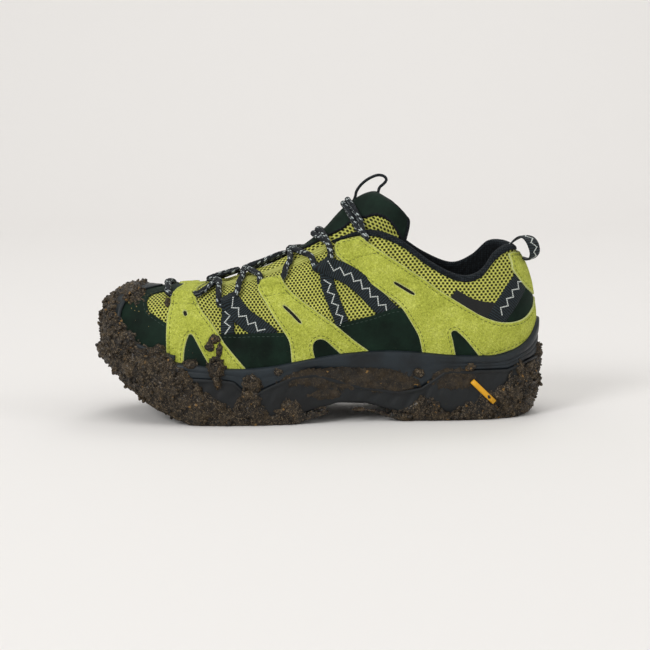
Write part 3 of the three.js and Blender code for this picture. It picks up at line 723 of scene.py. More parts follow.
def cut(surface, runs, step=1.5):
    """Closed outline from runs of places. Each run is smooth, and they meet in corners."""
    flat = lying(surface)
    pieces = []
    for run, following in zip(runs, runs[1:] + runs[:1]):
        whole = run if run[-1] == following[0] else run + [following[0]]
        pieces.append(along(whole, step, flat)[:-1])
    return np.concatenate(pieces)


def mirrored(runs):
    return [[(AROUND - s, t) for s, t in run] for run in runs]


def panel(surface, loops, thick, base=flush, folds=(), spacing=3.2, seam=0.2):
    """Closed sheet with rolled edges and a shallow trough where its seam pulls it down. Its
    chart says how far each point is from the cut edge, in mm."""
    scale = np.array(surface.scale, float)
    edges = [edge_of(surface, loop) for loop in loops]

    def margin(places):
        points = surface(places, np.zeros(len(places)))
        return np.min([distance_to(edge, points) for edge in edges], axis=0)

    low, high = loops[0].min(0), loops[0].max(0)
    u, v = np.meshgrid(np.arange(low[0], high[0], spacing / scale[0]),
                       np.arange(low[1], high[1], spacing * 0.87 / scale[1]))
    u[1::2] += spacing / scale[0] / 2
    field = np.column_stack([u.ravel(), v.ravel()])
    field = field[inside(loops, field)]
    chosen = [field[margin(field) > 4.4]]
    for loop in loops:
        for gap in (0.45, 1.3, SEAM, 3.3):
            for side in (-1, 1):
                ring = shifted(surface, loop, side * gap, closed=True)
                ring = ring[inside(loops, ring)]
                if len(ring):
                    chosen.append(ring[margin(ring) > 0.9 * gap])
    for fold in folds:
        for gap in (-1.1, -0.5, 0, 0.5, 1.1):
            row = shifted(surface, fold, np.full(len(fold), float(gap)))
            row = row[inside(loops, row)]
            if len(row):
                chosen.append(row[margin(row) > 0.5])
    inner = np.concatenate(chosen) * scale
    inner = inner[np.unique(np.round(inner / 0.45), axis=0, return_index=True)[1]]
    corners, outlines = [], []
    for loop in loops:
        outlines.append(list(range(len(corners), len(corners) + len(loop))))
        corners += (loop * scale).tolist()
    flat = [Vector(p) for p in corners + inner.tolist()]
    inside_with_holes = 2
    found, _, triangles = delaunay_2d_cdt(flat, [], outlines, inside_with_holes, 1e-5)[:3]
    places = np.array([tuple(p) for p in found]) / scale
    faces = np.array(triangles)
    from_edge = margin(places)
    lift = base(places)
    round_edge = 0.6 + 0.4 * np.sqrt(1 - (1 - np.minimum(from_edge / 0.5, 1)) ** 2)
    trough = seam * np.exp(-((from_edge - SEAM) / 0.55) ** 2)
    crown = 0.2 * smoothstep((from_edge - 3) / 5)
    top = surface(places, lift + thick * round_edge - trough + crown)
    bottom = surface(places, lift - 0.1)
    return closed_layer(top, bottom, faces, np.column_stack([from_edge, flush(places)]))


def slit(surface, start, end, width):
    """Loop round a narrow slot with round ends."""
    flat = lying(surface)
    middle = along(np.array([start, end], float), 1.0, flat)
    k = np.linspace(-1, 1, len(middle))
    half = width / 2 * np.sqrt(np.maximum(1 - k ** 6, 0))
    near, far = shifted(surface, middle, half), shifted(surface, middle, -half)
    return np.concatenate([near, far[-2:0:-1]])


def set_out(template, centre, ahead, aside, up, size):
    """Copies of one small closed body, each in its own place, direction and size."""
    points, faces = template
    local = points[None] * size[:, None]
    placed = (centre[:, None] + local[..., :1] * ahead[:, None] + local[..., 1:2] * aside[:, None]
              + local[..., 2:] * up[:, None])
    count, each = placed.shape[:2]
    every_face = [[n * each + i for i in face] for n in range(count) for face in faces]
    return placed.reshape(-1, 3), every_face


def grain_shape(sides=6):
    """A short rod with round ends, 1 long and 2 across."""
    turn = np.linspace(0, 2 * math.pi, sides, endpoint=False)
    rings = [[(x, r * math.cos(a), r * math.sin(a)) for a in turn]
             for x, r in ((-0.5, 0.4), (-0.36, 1), (0.36, 1), (0.5, 0.4))]
    return capped(np.array(rings))


STITCH = grain_shape()
# Length, half width and half thickness of the pale stitches
ZIGZAG_STITCH = [1.05, 0.46, 0.36]
PULL_STITCH = [1.1, 0.46, 0.36]


def stitches(surface, path, height, pitch=3.2, length=2.0, radius=0.3):
    """A row of stitches along a path of places, half sunk at that height."""
    flat = lying(surface)
    places = along(path, pitch, flat)
    height = height(places) if callable(height) else np.full(len(places), float(height))
    centre = surface(places, height)
    ahead = unit(np.gradient(centre, axis=0))
    up = unit(surface(places, height + 1) - centre)
    aside = unit(np.cross(up, ahead))
    size = np.tile([length, radius, radius], (len(places), 1))
    return set_out(STITCH, centre, ahead, aside, up, size)


# ---- outlines of the upper's panels, in (rib, t)

RIM_HIDDEN = 0.1  # t at which a panel's foot is out of sight behind the midsole's rim

TOE_BAND = [
    [(11.67, RIM_HIDDEN), (11.79, 0.18), (11.84, 0.23), (12.04, 0.367), (12.39, 0.537),
     (12.85, 0.655), (13.25, 0.745), (13.9, 0.83), (15, 0.875), (16.1, 0.83), (16.75, 0.745),
     (17.15, 0.655), (17.61, 0.537), (17.96, 0.367), (18.16, 0.23), (18.21, 0.18),
     (18.33, RIM_HIDDEN)],
    [(18.33, RIM_HIDDEN), (18.76, RIM_HIDDEN)],
    [(18.76, RIM_HIDDEN), (18.71, 0.2), (18.71, 0.29), (18.73, 0.325), (18.85, 0.315),
     (19.18, 0.215), (19.41, 0.14), (19.5, RIM_HIDDEN)],
    [(19.5, RIM_HIDDEN), (20.53, RIM_HIDDEN)],
    [(20.53, RIM_HIDDEN), (20.16, 0.19), (19.78, 0.28), (19.51, 0.357), (19.18, 0.445),
     (18.41, 0.625), (17.95, 0.76)],
    [(17.95, 0.76), (17.2, 0.9), (16.6, 0.985)],
    [(16.6, 0.985), (15, 0.995), (13.4, 0.985)],
    [(13.4, 0.985), (12.8, 0.9), (12.05, 0.76)],
    [(12.05, 0.76), (11.59, 0.625), (10.82, 0.445), (10.49, 0.357), (10.22, 0.28), (9.84, 0.19),
     (9.47, RIM_HIDDEN)],
    [(9.47, RIM_HIDDEN), (10.5, RIM_HIDDEN)],
    [(10.5, RIM_HIDDEN), (10.59, 0.14), (10.82, 0.215), (11.15, 0.315), (11.27, 0.325),
     (11.29, 0.29), (11.29, 0.2), (11.24, RIM_HIDDEN)],
    [(11.24, RIM_HIDDEN), (11.67, RIM_HIDDEN)],
]
MIDDLE_BAND = [
    [(9.74, 0.79), (9.5, 0.815), (9.22, 0.79)],
    [(9.22, 0.79), (8.97, 0.672), (8.59, 0.562), (8.02, 0.45), (7.5, 0.365), (6.9, 0.26),
     (6.4, 0.175), (6.1, RIM_HIDDEN)],
    [(6.1, RIM_HIDDEN), (6.95, RIM_HIDDEN)],
    [(6.95, RIM_HIDDEN), (7.12, 0.155), (7.4, 0.217), (7.62, 0.262), (7.78, 0.275), (7.9, 0.26),
     (7.9, 0.22), (7.8, 0.152), (7.78, RIM_HIDDEN)],
    [(7.78, RIM_HIDDEN), (8.36, RIM_HIDDEN)],
    [(8.36, RIM_HIDDEN), (8.4, 0.16), (8.55, 0.278), (8.79, 0.357), (9.14, 0.463), (9.47, 0.595),
     (9.7, 0.7), (9.74, 0.79)],
]
HEEL_BAND_TOP = [
    (6.95, 0.93), (6.4, 0.868), (5.7, 0.835), (5.27, 0.83), (4.92, 0.805), (4.25, 0.735),
    (3.42, 0.605), (2.85, 0.5), (2.25, 0.413), (1.62, 0.383), (1.05, 0.398), (0.5, 0.455),
    (0, 0.53),
]
HEEL_BAND_FRONT = [
    (4.8, RIM_HIDDEN), (4.82, 0.147), (5.02, 0.3), (5.45, 0.45), (5.8, 0.532), (6.27, 0.58),
    (6.8, 0.633), (7.4, 0.73), (7.78, 0.83), (7.87, 0.9),
]
HEEL_BAND_WINDOW = [
    (2.9, RIM_HIDDEN), (2.97, 0.115), (3.45, 0.27), (3.8, 0.36), (3.95, 0.378), (4.03, 0.35),
    (3.92, 0.27), (3.77, 0.13), (3.74, RIM_HIDDEN),
]


def across_heel(run):
    """The same run on the inner side, in ribs below zero."""
    return [(-s, t) for s, t in run]


HEEL_BAND = [
    HEEL_BAND_FRONT,
    [(7.87, 0.9), (7.82, 0.975)],
    [(7.82, 0.975), (7.5, 0.962), (7.14, 0.982)],
    [(7.14, 0.982), (6.95, 0.93)],
    HEEL_BAND_TOP + across_heel(HEEL_BAND_TOP)[-2::-1],
    [(-6.95, 0.93), (-7.14, 0.982)],
    [(-7.14, 0.982), (-7.5, 0.962), (-7.82, 0.975)],
    [(-7.82, 0.975), (-7.87, 0.9)],
    across_heel(HEEL_BAND_FRONT)[::-1],
    [(-4.8, RIM_HIDDEN), (-3.74, RIM_HIDDEN)],
    across_heel(HEEL_BAND_WINDOW)[::-1],
    [(-2.9, RIM_HIDDEN), (-1.6, 0.16), (0, 0.26), (1.6, 0.16), (2.9, RIM_HIDDEN)],
    HEEL_BAND_WINDOW,
    [(3.74, RIM_HIDDEN), (4.8, RIM_HIDDEN)],
]
BACK_TAB = [
    [(1.2, 0.965), (1.18, 0.87), (1.22, 0.8), (0.87, 0.66), (0.4, 0.575), (0, 0.545),
     (-0.4, 0.575), (-0.87, 0.66), (-1.22, 0.8), (-1.18, 0.87), (-1.2, 0.965)],
    [(-1.2, 0.965), (0, 0.955), (1.2, 0.965)],
]
SIDE_GREEN = [
    [(11.48, 0.345), (10.42, 0.352), (9.54, 0.352), (8.72, 0.342), (8.0, 0.345), (7.32, 0.362),
     (6.57, 0.41), (5.77, 0.503), (5.2, 0.5), (4.5, 0.42), (3.0, 0.42), (2.2, 0.36)],
    [(2.2, 0.36), (2.3, RIM_HIDDEN - 0.02)],
    [(2.3, RIM_HIDDEN - 0.02), (6.5, RIM_HIDDEN - 0.02), (11.48, RIM_HIDDEN - 0.02)],
    [(11.48, RIM_HIDDEN - 0.02), (11.48, 0.345)],
]
HEEL_GREEN = [
    [(2.45, 0.38), (2.2, 0.455), (1.5, 0.56), (0.9, 0.67), (0.6, 0.68), (0, 0.62), (-0.6, 0.68),
     (-0.9, 0.67), (-1.5, 0.56), (-2.2, 0.455), (-2.45, 0.38)],
    [(-2.45, 0.38), (-1.6, 0.34), (0, 0.4), (1.6, 0.34), (2.45, 0.38)],
]
TOE_GREEN = [
    [(11.52, RIM_HIDDEN - 0.02), (11.6, 0.36), (11.85, 0.52), (12.3, 0.7), (13.0, 0.83),
     (14.0, 0.91), (15, 0.935), (16.0, 0.91), (17.0, 0.83), (17.7, 0.7), (18.15, 0.52),
     (18.4, 0.36), (18.48, RIM_HIDDEN - 0.02)],
    [(18.48, RIM_HIDDEN - 0.02), (16.5, 0.12), (15, 0.13), (13.5, 0.12),
     (11.52, RIM_HIDDEN - 0.02)],
]
TOE_WINDOW = [
    [(13.17, 0.495), (13.47, 0.573), (13.58, 0.64), (13.5, 0.71), (13.2, 0.725)],
    [(13.2, 0.725), (12.6, 0.62), (12.2, 0.47), (11.9, 0.36)],
    [(11.9, 0.36), (12.22, 0.378), (12.49, 0.398), (12.82, 0.425), (13.17, 0.495)],
]
LABEL = [
    [(4.12, 0.86), (2.2, 0.575)], [(2.2, 0.575), (2.6, 0.455)], [(2.6, 0.455), (4.3, 0.735)],
    [(4.3, 0.735), (4.12, 0.86)],
]

# Where the lace runs hidden: under the toe band, in the front loop, under the middle band, in
# the rear loop and under the top of the heel band
LACE_TUNNELS = [
    [(12.6, 0.645), (12.05, 0.7)],
    [(10.74, 0.6), (10.56, 0.585), (10.4, 0.64)],
    [(9.62, 0.76), (9.2, 0.765)],
    [(8.3, 0.755), (8.12, 0.735), (7.97, 0.79)],
    [(7.0, 0.935), (7.3, 0.91), (7.6, 0.93)],
]
LACE_HIDDEN = 2.3  # height of the hidden lace's middle above the mesh
TUNNEL_LIFT = 4.0  # how far a band or a tape is pushed up over the lace
TUNNEL_HALF = 3.0  # how far to each side of the lace the push fades out


def tunnel_lines():
    lines = []
    for tunnel in LACE_TUNNELS:
        run = np.array(tunnel, float)
        for places in both_sides(run):
            lines.append(along(face(places[:, 0], places[:, 1]), 2.0))
    return lines


TUNNEL_LINES = tunnel_lines()


def over_lace(places):
    """How far the hidden lace pushes up what lies over it."""
    points = face(places[:, 0], places[:, 1])
    away = np.min([distance_to(line, points) for line in TUNNEL_LINES], axis=0)
    return TUNNEL_LIFT * np.exp(-(away / TUNNEL_HALF) ** 2)


# Where a band is folded back over the lace and sewn down
FOLDS = [[(12.37, 0.555), (11.95, 0.585), (11.52, 0.593)], [(9.47, 0.64), (8.92, 0.625)],
         [(7.38, 0.765), (6.95, 0.81), (6.55, 0.853)]]


def fold_rows():
    rows = []
    for fold in FOLDS:
        run = np.array(fold, float)
        for places in both_sides(run):
            rows.append(along(places, 0.8, lambda p: face(p[:, 0], p[:, 1])))
    return rows


FOLD_ROWS = fold_rows()


def band_base(places):
    """Height of the mesh side of a band: up over the hidden lace, down into its folds."""
    points = face(places[:, 0], places[:, 1])
    away = np.min([distance_to(face(*row.T), points) for row in FOLD_ROWS], axis=0)
    return over_lace(places) - 0.6 * np.exp(-(away / 0.7) ** 2)


GREEN_TOP = np.array(SIDE_GREEN[0][::-1]).T
BANDS = [cut(skin, band) for band in (TOE_BAND, MIDDLE_BAND, HEEL_BAND)]
BAND_EDGES = [edge_of(skin, band) for band in BANDS]


def hem(places):
    """The side panel's top edge is folded in, and covers the ends of the tapes between the
    bands."""
    s = places[:, 0] % AROUND
    outer = np.column_stack([np.minimum(s, AROUND - s), places[:, 1]])
    points = skin(outer, flush(outer))
    away = np.min([distance_to(edge, points) for edge in BAND_EDGES], axis=0)
    bare = smoothstep(away / 2.2) * ~inside(BANDS, outer)
    below_top = outer[:, 1] - np.interp(outer[:, 0], *GREEN_TOP)
    return 0.9 * bare * smoothstep((below_top + 0.075) / 0.04)


def sunk(places):
    return np.full(len(places), -0.5)


# ---- the upper's layers

def mesh_pitch():
    """Holes counted along the shoe: they lie 2.4 mm apart at the front and 2.9 mm behind."""
    x = np.linspace(-170, 170, 341)
    pitch = 2.4 + 0.5 * smoothstep(x / 40)
    return x, np.concatenate([[0], np.cumsum(1 / pitch[1:])])


MESH_PITCH = mesh_pitch()
MESH_ROW = 1.95


def upper():
    columns, rows, lining_rows = 420, 84, 24
    s = np.linspace(0, AROUND, columns, endpoint=False)
    t = np.linspace(0, 1, rows)
    places = np.stack(np.meshgrid(s, t, indexing="ij"), -1).reshape(-1, 2)
    outer = skin(places, np.zeros(len(places))).reshape(columns, rows, 3)
    edge = offset(s, 1.0, -WALL / 2) + unit(outer[:, -1] - outer[:, -2]) * 0.5
    back = np.linspace(1, 0, lining_rows)
    inner = offset(s[:, None], back[None], np.full((columns, lining_rows), -WALL))
    rings = np.concatenate([outer, edge[:, None], inner], axis=1)
    rise = np.linalg.norm(np.diff(outer[..., 1:], axis=1), axis=2)
    arc = np.concatenate([np.zeros((columns, 1)), np.cumsum(rise, axis=1)], axis=1)
    arc = np.concatenate([arc, arc[:, -1:]], axis=1)
    arc = np.concatenate([arc, np.stack([np.interp(back, t, row[:rows]) for row in arc])], axis=1)
    holes = np.interp(rings[..., 0], *MESH_PITCH)
    girth = np.where(np.abs(s[:, None] - TOE) < 3.05,
                     (rings[..., 2] - np.abs(rings[..., 1])) * math.sqrt(0.5), arc)
    chart = np.stack([holes, girth / MESH_ROW], -1).reshape(-1, 2)
    points, faces = sheet(rings, join_rows=True, join_columns=True)
    return points, faces, chart


def facing():
    """The throat's folded edge, on both sides of the opening."""
    parts = []
    for low, high in ((7.9, 13.2), (16.8, 22.1)):
        s = np.linspace(low, high, 90)
        width = 6.5 * np.minimum(1, np.minimum(s - low, high - s) * 3 + 0.1)
        reach = [np.ones(len(s)), 1 - 0.5 * width / 70, 1 - width / 70]
        out = [skin(np.column_stack([s, t]), np.full(len(s), h))
               for t, h in zip(reach[::-1], (0.15, 0.75, 0.8))]
        up = unit(out[2] - out[1])
        over = offset(s, 1.0, np.full(len(s), -WALL / 2)) + up * 1.3
        under = offset(s, 1.0, np.full(len(s), -WALL - 0.6))
        behind = offset(s, reach[1], np.full(len(s), -WALL - 0.6))
        core = [offset(s, reach[1], np.full(len(s), -WALL / 2)),
                offset(s, reach[2], np.full(len(s), -WALL / 2))]
        parts.append(capped(np.stack([*out, over, under, behind, *core], 1)))
    return joined(parts)


# Slots in the toe, middle and heel bands on the outer side: their two ends and their width
TOE_SLOT = (11.76, 0.508), (11.6, 0.462), 2.2
MIDDLE_SLOT = (8.95, 0.53), (8.34, 0.385), 1.9
HEEL_SLOT = (6.02, 0.68), (5.38, 0.65), 1.9


def slots(slot, inner_at=AROUND, grow=0.0):
    """The slot on the outer and on the inner side. grow adds mm all round."""
    *ends, width = slot
    run = np.array(ends)
    run += (run - run.mean(0)) * grow * 0.1
    return [slit(skin, *places, width + 2 * grow) for places in both_sides(run, inner_at)]


def suede_cuts():
    outer, inner = slots(MIDDLE_SLOT)
    return [[cut(skin, TOE_BAND), *slots(TOE_SLOT)], [cut(skin, MIDDLE_BAND), outer],
            [cut(skin, mirrored(MIDDLE_BAND)), inner],
            [cut(skin, HEEL_BAND), *slots(HEEL_SLOT, inner_at=0)], [cut(skin, BACK_TAB)]]


def slot_shade_sheets():
    """Dark sheet behind the slots, between the mesh and the suede: painted shade that makes the
    slots read black.
    """
    loops = slots(TOE_SLOT, grow=1.8) + slots(MIDDLE_SLOT, grow=1.5) + slots(HEEL_SLOT, grow=1.5)
    return joined([panel(skin, [loop], 0.5, over_lace, seam=0) for loop in loops])


def green_cuts():
    window = cut(skin, TOE_WINDOW)
    other = cut(skin, mirrored(TOE_WINDOW))
    return [[cut(skin, TOE_GREEN), window, other], [cut(skin, SIDE_GREEN)],
            [cut(skin, mirrored(SIDE_GREEN))], [cut(skin, HEEL_GREEN)]]


def seam_rows(loops, thick, base, skip_below=0.12):
    """Stitches all round each loop of a panel, in from its edge."""
    rows = []
    for loop in loops:
        for side in (-1, 1):
            ring = shifted(skin, loop, side * SEAM, closed=True)
            points = skin(ring, np.zeros(len(ring)))
            good = inside(loops, ring) & (distance_to(edge_of(skin, loop), points) > 2.0)
            good &= ring[:, 1] > skip_below
            start = 0
            for i in range(len(ring) + 1):
                if i < len(ring) and good[i]:
                    continue
                if i - start > 4:
                    rows.append(stitches(skin, ring[start:i],
                                         lambda p: base(p) + thick - 0.25))
                start = i + 1
    return rows


# ---- webbing

ACROSS_TAPE = 13  # points across a tape
NARROW_TAPE, WIDE_TAPE, STRAP_TAPE = 9, 13, 14
TUCK = 1.2  # how far the end of a tape goes down under the next panel


def tape_edge(across, width):
    """How much thinner a tape is near its edges."""
    return 0.3 * (np.abs(across) / width * 2) ** 8


def tape_places(places, step=0.8):
    """Middle line of a tape, and its sideways direction in places for each mm."""
    middle = along(np.array(places, float), step, lying(skin))
    return middle, shifted(skin, middle, np.ones(len(middle))) - middle


def tape(places, width, heights, ends=(0.0, 0.0)):
    """Flat tape on the upper, from one height above the mesh to another. ends is how much
    further down each of its two ends is tucked."""
    middle, aside = tape_places(places)
    across = np.linspace(-0.5, 0.5, ACROSS_TAPE) * width
    grid = middle[:, None] + aside[:, None] * across[:, None]
    flat = grid.reshape(-1, 2)
    count = len(middle)
    k = np.linspace(0, 1, count)
    tuck = 7  # steps of the tape over which an end goes down
    drop = (ends[0] * (1 - smoothstep(k * count / tuck))
            + ends[1] * (1 - smoothstep((1 - k) * count / tuck)))
    rise = heights[0] + (heights[1] - heights[0]) * k
    lift = over_lace(flat).reshape(count, -1) + (rise - drop)[:, None]
    edge = tape_edge(across, width)
    top = skin(flat, (lift + WEBBING - edge).ravel()).reshape(count, -1, 3)
    low = skin(flat, (lift + edge * 0.5).ravel()).reshape(count, -1, 3)[:, ::-1]
    length = run_length(top[:, ACROSS_TAPE // 2])
    chart = np.stack(np.broadcast_arrays(length[:, None], np.r_[across, across[::-1]]), -1)
    return (*capped(np.concatenate([top, low], axis=1)), chart.reshape(-1, 2))


def zigzag(places, heights, start, end, rise=1.8, run=(4.6, 3.1)):
    """Stair-step line of pale stitches down the middle of a tape."""
    middle, aside = tape_places(places, 0.5)
    points = skin(middle, np.zeros(len(middle)))
    length = run_length(points)
    corners, at, side = [], start, 1
    while at < length[-1] - end:
        corners.append((at, side * rise))
        at += run[0] if side > 0 else run[1]
        side = -side
    corners = np.array(corners)
    line = np.concatenate([np.linspace(a, b, max(2, round(np.linalg.norm(b - a) / 1.1)),
                                       endpoint=False)
                           for a, b in zip(corners[:-1], corners[1:])] + [corners[-1:]])
    index = np.interp(line[:, 0], length, np.arange(len(length)))
    base = np.stack([np.interp(index, np.arange(len(middle)), middle[:, n]) for n in (0, 1)], 1)
    way = np.stack([np.interp(index, np.arange(len(middle)), aside[:, n]) for n in (0, 1)], 1)
    spots = base + way * line[:, 1:]
    level = heights[0] + (heights[1] - heights[0]) * line[:, 0] / length[-1]
    lift = over_lace(spots) + level + WEBBING - 0.08
    centre = skin(spots, lift)
    ahead = unit(np.gradient(centre, axis=0))
    up = unit(skin(spots, lift + 1) - centre)
    size = np.tile(ZIGZAG_STITCH, (len(spots), 1))
    return set_out(STITCH, centre, ahead, unit(np.cross(up, ahead)), up, size)


FRONT_NARROW = [(10.16, 0.31), (10.32, 0.45), (10.5, 0.645)]
FRONT_WIDE = [(10.62, 0.69), (10.46, 0.645), (10, 0.5), (9.1, 0.325), (8.98, 0.3)]
REAR_NARROW = [(7.17, 0.325), (7.3, 0.375), (7.85, 0.6), (8.05, 0.76)]
REAR_WIDE = [(8.2, 0.81), (8.05, 0.765), (7.1, 0.63), (6.1, 0.475), (5.78, 0.42)]
HEEL_STRAP = [(0.72, 0.73), (0.95, 0.69), (1.5, 0.61), (2.15, 0.5), (2.45, 0.42)]
NARROW_HEIGHT = (0.2, 0.2)
WIDE_HEIGHT = (0.9, -0.1)
STRAP_HEIGHT = (-0.4, -0.4)


def on_side(places, side):
    return places if side < 0 else [(AROUND - s, t) for s, t in places]


# ---- tongue, collar and insole

def tongue_rows():
    """Five points across each row: outer low, outer edge, middle, inner edge, inner low."""
    rows = []
    for middle, *rest in TONGUE:
        wings = {}
        for side in (-1, 1):
            if len(rest) == 1:
                s = rest[0] if side < 0 else AROUND - rest[0]
                wings[side] = [offset(s, 0.8, TONGUE_DEPTH), offset(s, 1, TONGUE_DEPTH)]
            else:
                wings[side] = [np.array([x, side * y, z]) for x, y, z in rest[::-1]]
        centre = np.array([middle[0], 0, middle[1]])
        rows.append([*wings[-1], centre, *wings[1][::-1]])
    return np.array([[np.reshape(p, 3) for p in row] for row in rows], float)


TONGUE_ROWS = tongue_rows()


def tongue_face(places):
    """Points of the tongue's face: places are (row, 0 to 4 across)."""
    rows = spline(TONGUE_ROWS, np.clip(places[:, 0], 0, 12))
    first, last = 2 * rows[:, :1] - rows[:, 1:2], 2 * rows[:, -1:] - rows[:, -2:-1]
    rows = np.concatenate([first, rows, last], axis=1)
    v = places[:, 1]
    i = np.clip(np.floor(v).astype(int), 0, 3)
    a, b, c, d = [rows[np.arange(len(v)), i + j] for j in range(4)]
    return catmull_rom(a, b, c, d, (v - i)[:, None])


def tongue_skin(places, height):
    step = 0.05
    u, v = np.array([step, 0]), np.array([0, step])
    ahead = tongue_face(places + u) - tongue_face(places - u)
    ahead_end = tongue_face(places) - tongue_face(places - u * 2)
    ahead = np.where((places[:, :1] > 12 - step), ahead_end, ahead)
    aside = tongue_face(places + v) - tongue_face(places - v)
    up = unit(np.cross(ahead, aside))
    return tongue_face(places) + up * np.reshape(height, (-1, 1))


tongue_skin.scale = (12, 17)


def tongue():
    """Foam pad in open mesh, thicker to the top, thin at its wings."""
    rows, columns = 150, 60
    u, v = np.linspace(0, 12, rows), np.linspace(0, 4, columns)
    places = np.stack(np.meshgrid(u, v, indexing="ij"), -1)
    flat = places.reshape(-1, 2)
    side = np.abs(flat[:, 1] - 2) / 2
    thick = (3.5 + 3.5 * smoothstep(flat[:, 0] / 12)) * (1 - 0.6 * side ** 4)
    thick = np.where(flat[:, 0] > 11, thick - (thick - 3) * smoothstep(flat[:, 0] - 11), thick)
    front = tongue_skin(flat, np.zeros(len(flat))).reshape(rows, columns, 3)
    back = tongue_skin(flat, -thick).reshape(rows, columns, 3)
    middle = (front + back) / 2
    rim = [middle[:, -1:] + unit(middle[:, -1:] - middle[:, -2:-1]) * 0.8,
           middle[:, :1] + unit(middle[:, :1] - middle[:, 1:2]) * 0.8]
    rings = np.concatenate([front, rim[0], back[:, ::-1], rim[1]], axis=1)
    chart = np.stack([flat[:, 0].reshape(rows, columns) * 12 / 2.7,
                      flat[:, 1].reshape(rows, columns) * 17 / MESH_ROW], -1)
    chart = np.concatenate([chart, chart[:, -1:], chart[:, ::-1], chart[:, :1]], axis=1)
    return (*capped(rings), chart.reshape(-1, 2))


TONGUE_TOP_EDGE = [
    (5.2, 1.97), (5.6, 1.72), (6.2, 1.6), (6.85, 1.55), (7.5, 1.42), (8.45, 1.37), (8.95, 1.28),
    (9.5, 1.17), (9.8, 0.93), (9.88, 0.62), (9.78, 0.3), (9.6, -0.04),
]


def over_middle(run):
    """The same run on the tongue's inner half."""
    return [(row, 4 - across) for row, across in run]


TONGUE_TOP = [
    TONGUE_TOP_EDGE,
    [(9.6, -0.04), (11.0, -0.04), (11.95, 0.0)],
    [(11.95, 0.0), (11.95, 2.0), (11.95, 4.0)],
    [(11.95, 4.0), (11.0, 4.04), (9.6, 4.04)],
    over_middle(TONGUE_TOP_EDGE)[::-1],
]
TONGUE_BINDING = [(8.6, -0.05), (10, -0.05), (11.2, -0.05), (11.9, 0.1), (12.0, 0.6), (12.0, 1.3),
                  (12.0, 2.0)]


def tongue_piping():
    """Rolled binding round the tongue's top, and the thin round piping along its mesh."""
    flat = lying(tongue_skin)
    half = np.array(TONGUE_BINDING, float)
    whole = along(np.concatenate([half, (half * [1, -1] + [0, 4])[-2::-1]]), 1.0, flat)
    parts = [tube(tongue_skin(whole, np.full(len(whole), -1.6)), 1.9, 12)]
    for edge in (TONGUE_TOP_EDGE, over_middle(TONGUE_TOP_EDGE)):
        path = along(np.array(edge, float), 0.9, flat)
        parts.append(tube(tongue_skin(path, np.full(len(path), 0.25)), 1.0, 8))
    return joined(parts)


def collar():
    """Foam padding inside the collar, and its rolled edge over the topline. The padding stops
    short of the throat and the rolled edge runs on, thinner."""
    pad_reach, reach, back = 6.6, 7.9, -(WALL + GAP + 1.4 * FACET)
    s = np.linspace(-reach, reach, 340)
    taper = smoothstep((pad_reach - np.abs(s)) / 2)
    thin = 0.5
    pad = back - thin - (LINING - thin) * taper
    full = 1 - 0.45 * smoothstep((np.abs(s) - pad_reach) / 1.2)
    edge = face(s, np.ones(len(s)))
    normal = face_normal(s, np.ones(len(s)))
    up = unit(edge - face(s, np.full(len(s), 0.98)))
    swell = 0.35 * np.sin(s * 2.1) * taper

    def roll(across, above):
        sideways = np.reshape(across, (-1, 1)) * np.ones((len(s), 1))
        return edge + normal * sideways + up * above * full[:, None]

    def in_wall(t, depth):
        return offset(s, np.full(len(s), t), np.zeros(len(s)) + depth)

    behind = np.maximum(pad + 0.6, -5) * taper + (back - 0.6) * (1 - taper)
    rings = [
        in_wall(0.52, back), in_wall(0.7, back), in_wall(0.86, back), roll(back, 0.3),
        roll(0.3, -0.6), roll(1.3, 0.3), roll(1.5, 1.9), roll(0.7, 3.5), roll(-1.6, 4.7),
        roll((behind + back) / 2, 4.5), roll(behind, 2.4), in_wall(0.88, pad + 0.3 + swell),
        in_wall(0.7, pad + 1.0 - swell), in_wall(0.52, back - thin - 0.7 * taper),
    ]
    rings = np.stack(rings, 1)
    fine = 4
    count = rings.shape[1]
    places = np.arange(count * fine) / fine
    smooth = np.stack([spline(r, places, closed=True) for r in rings])
    points, faces = capped(smooth)
    bound = [3.75 * fine <= i < 10.0 * fine for i in range(count * fine)]
    pick = [1 if bound[n % (count * fine)] else 0 for n in range((len(s) - 1) * count * fine)]
    return points, faces, pick + [0, 0]


def insole():
    s = np.linspace(0, AROUND, 240, endpoint=False)

    def level(extra, lift):
        ring = offset(s, np.zeros(len(s)), np.full(len(s), -(WALL + FACET + extra)))
        ring[:, 2] = height_at(FOOT_BED, ring[:, 0]) + lift
        return ring
    return capped(np.stack([level(1.4, GAP), level(1.4, 3), level(2, 4), level(4, 5)]))


# ---- sole

def lower_inset(s):
    return 1.5 + 2 * np.maximum(0, rib_at(s)[:, 2] - 5.6)


def outline(s, inset, height):
    """Points of the sole's outline, set in by a distance. height is a function of x."""
    r = rib_at(s)
    spot = r[:, :2] + outward_at(s) * (r[:, 2] - inset)[:, None]
    return np.column_stack([spot, height(spot[:, 0])])


def ground(x):
    return height_at(GROUND, x)


def wave(x):
    return height_at(WAVE, x)


def tread(x):
    return ground(x) + np.clip(2.2 + (x + 140) * 0.1, 2.2, LUG)


def sole_floor(x):
    return np.minimum(ground(x) + LUG + WEB, height_at(FOOT_BED, x) - UNDER_BED)


def side_foot(x):
    """Height at which the outsole's side turns in towards the tread."""
    return np.maximum(tread(x) + 3, wave(x) - 12)


def rim_place(s):
    return t_at_height(s, rib_at(s)[:, 10])


def lowered(points, distance):
    return points - [0, 0, distance]


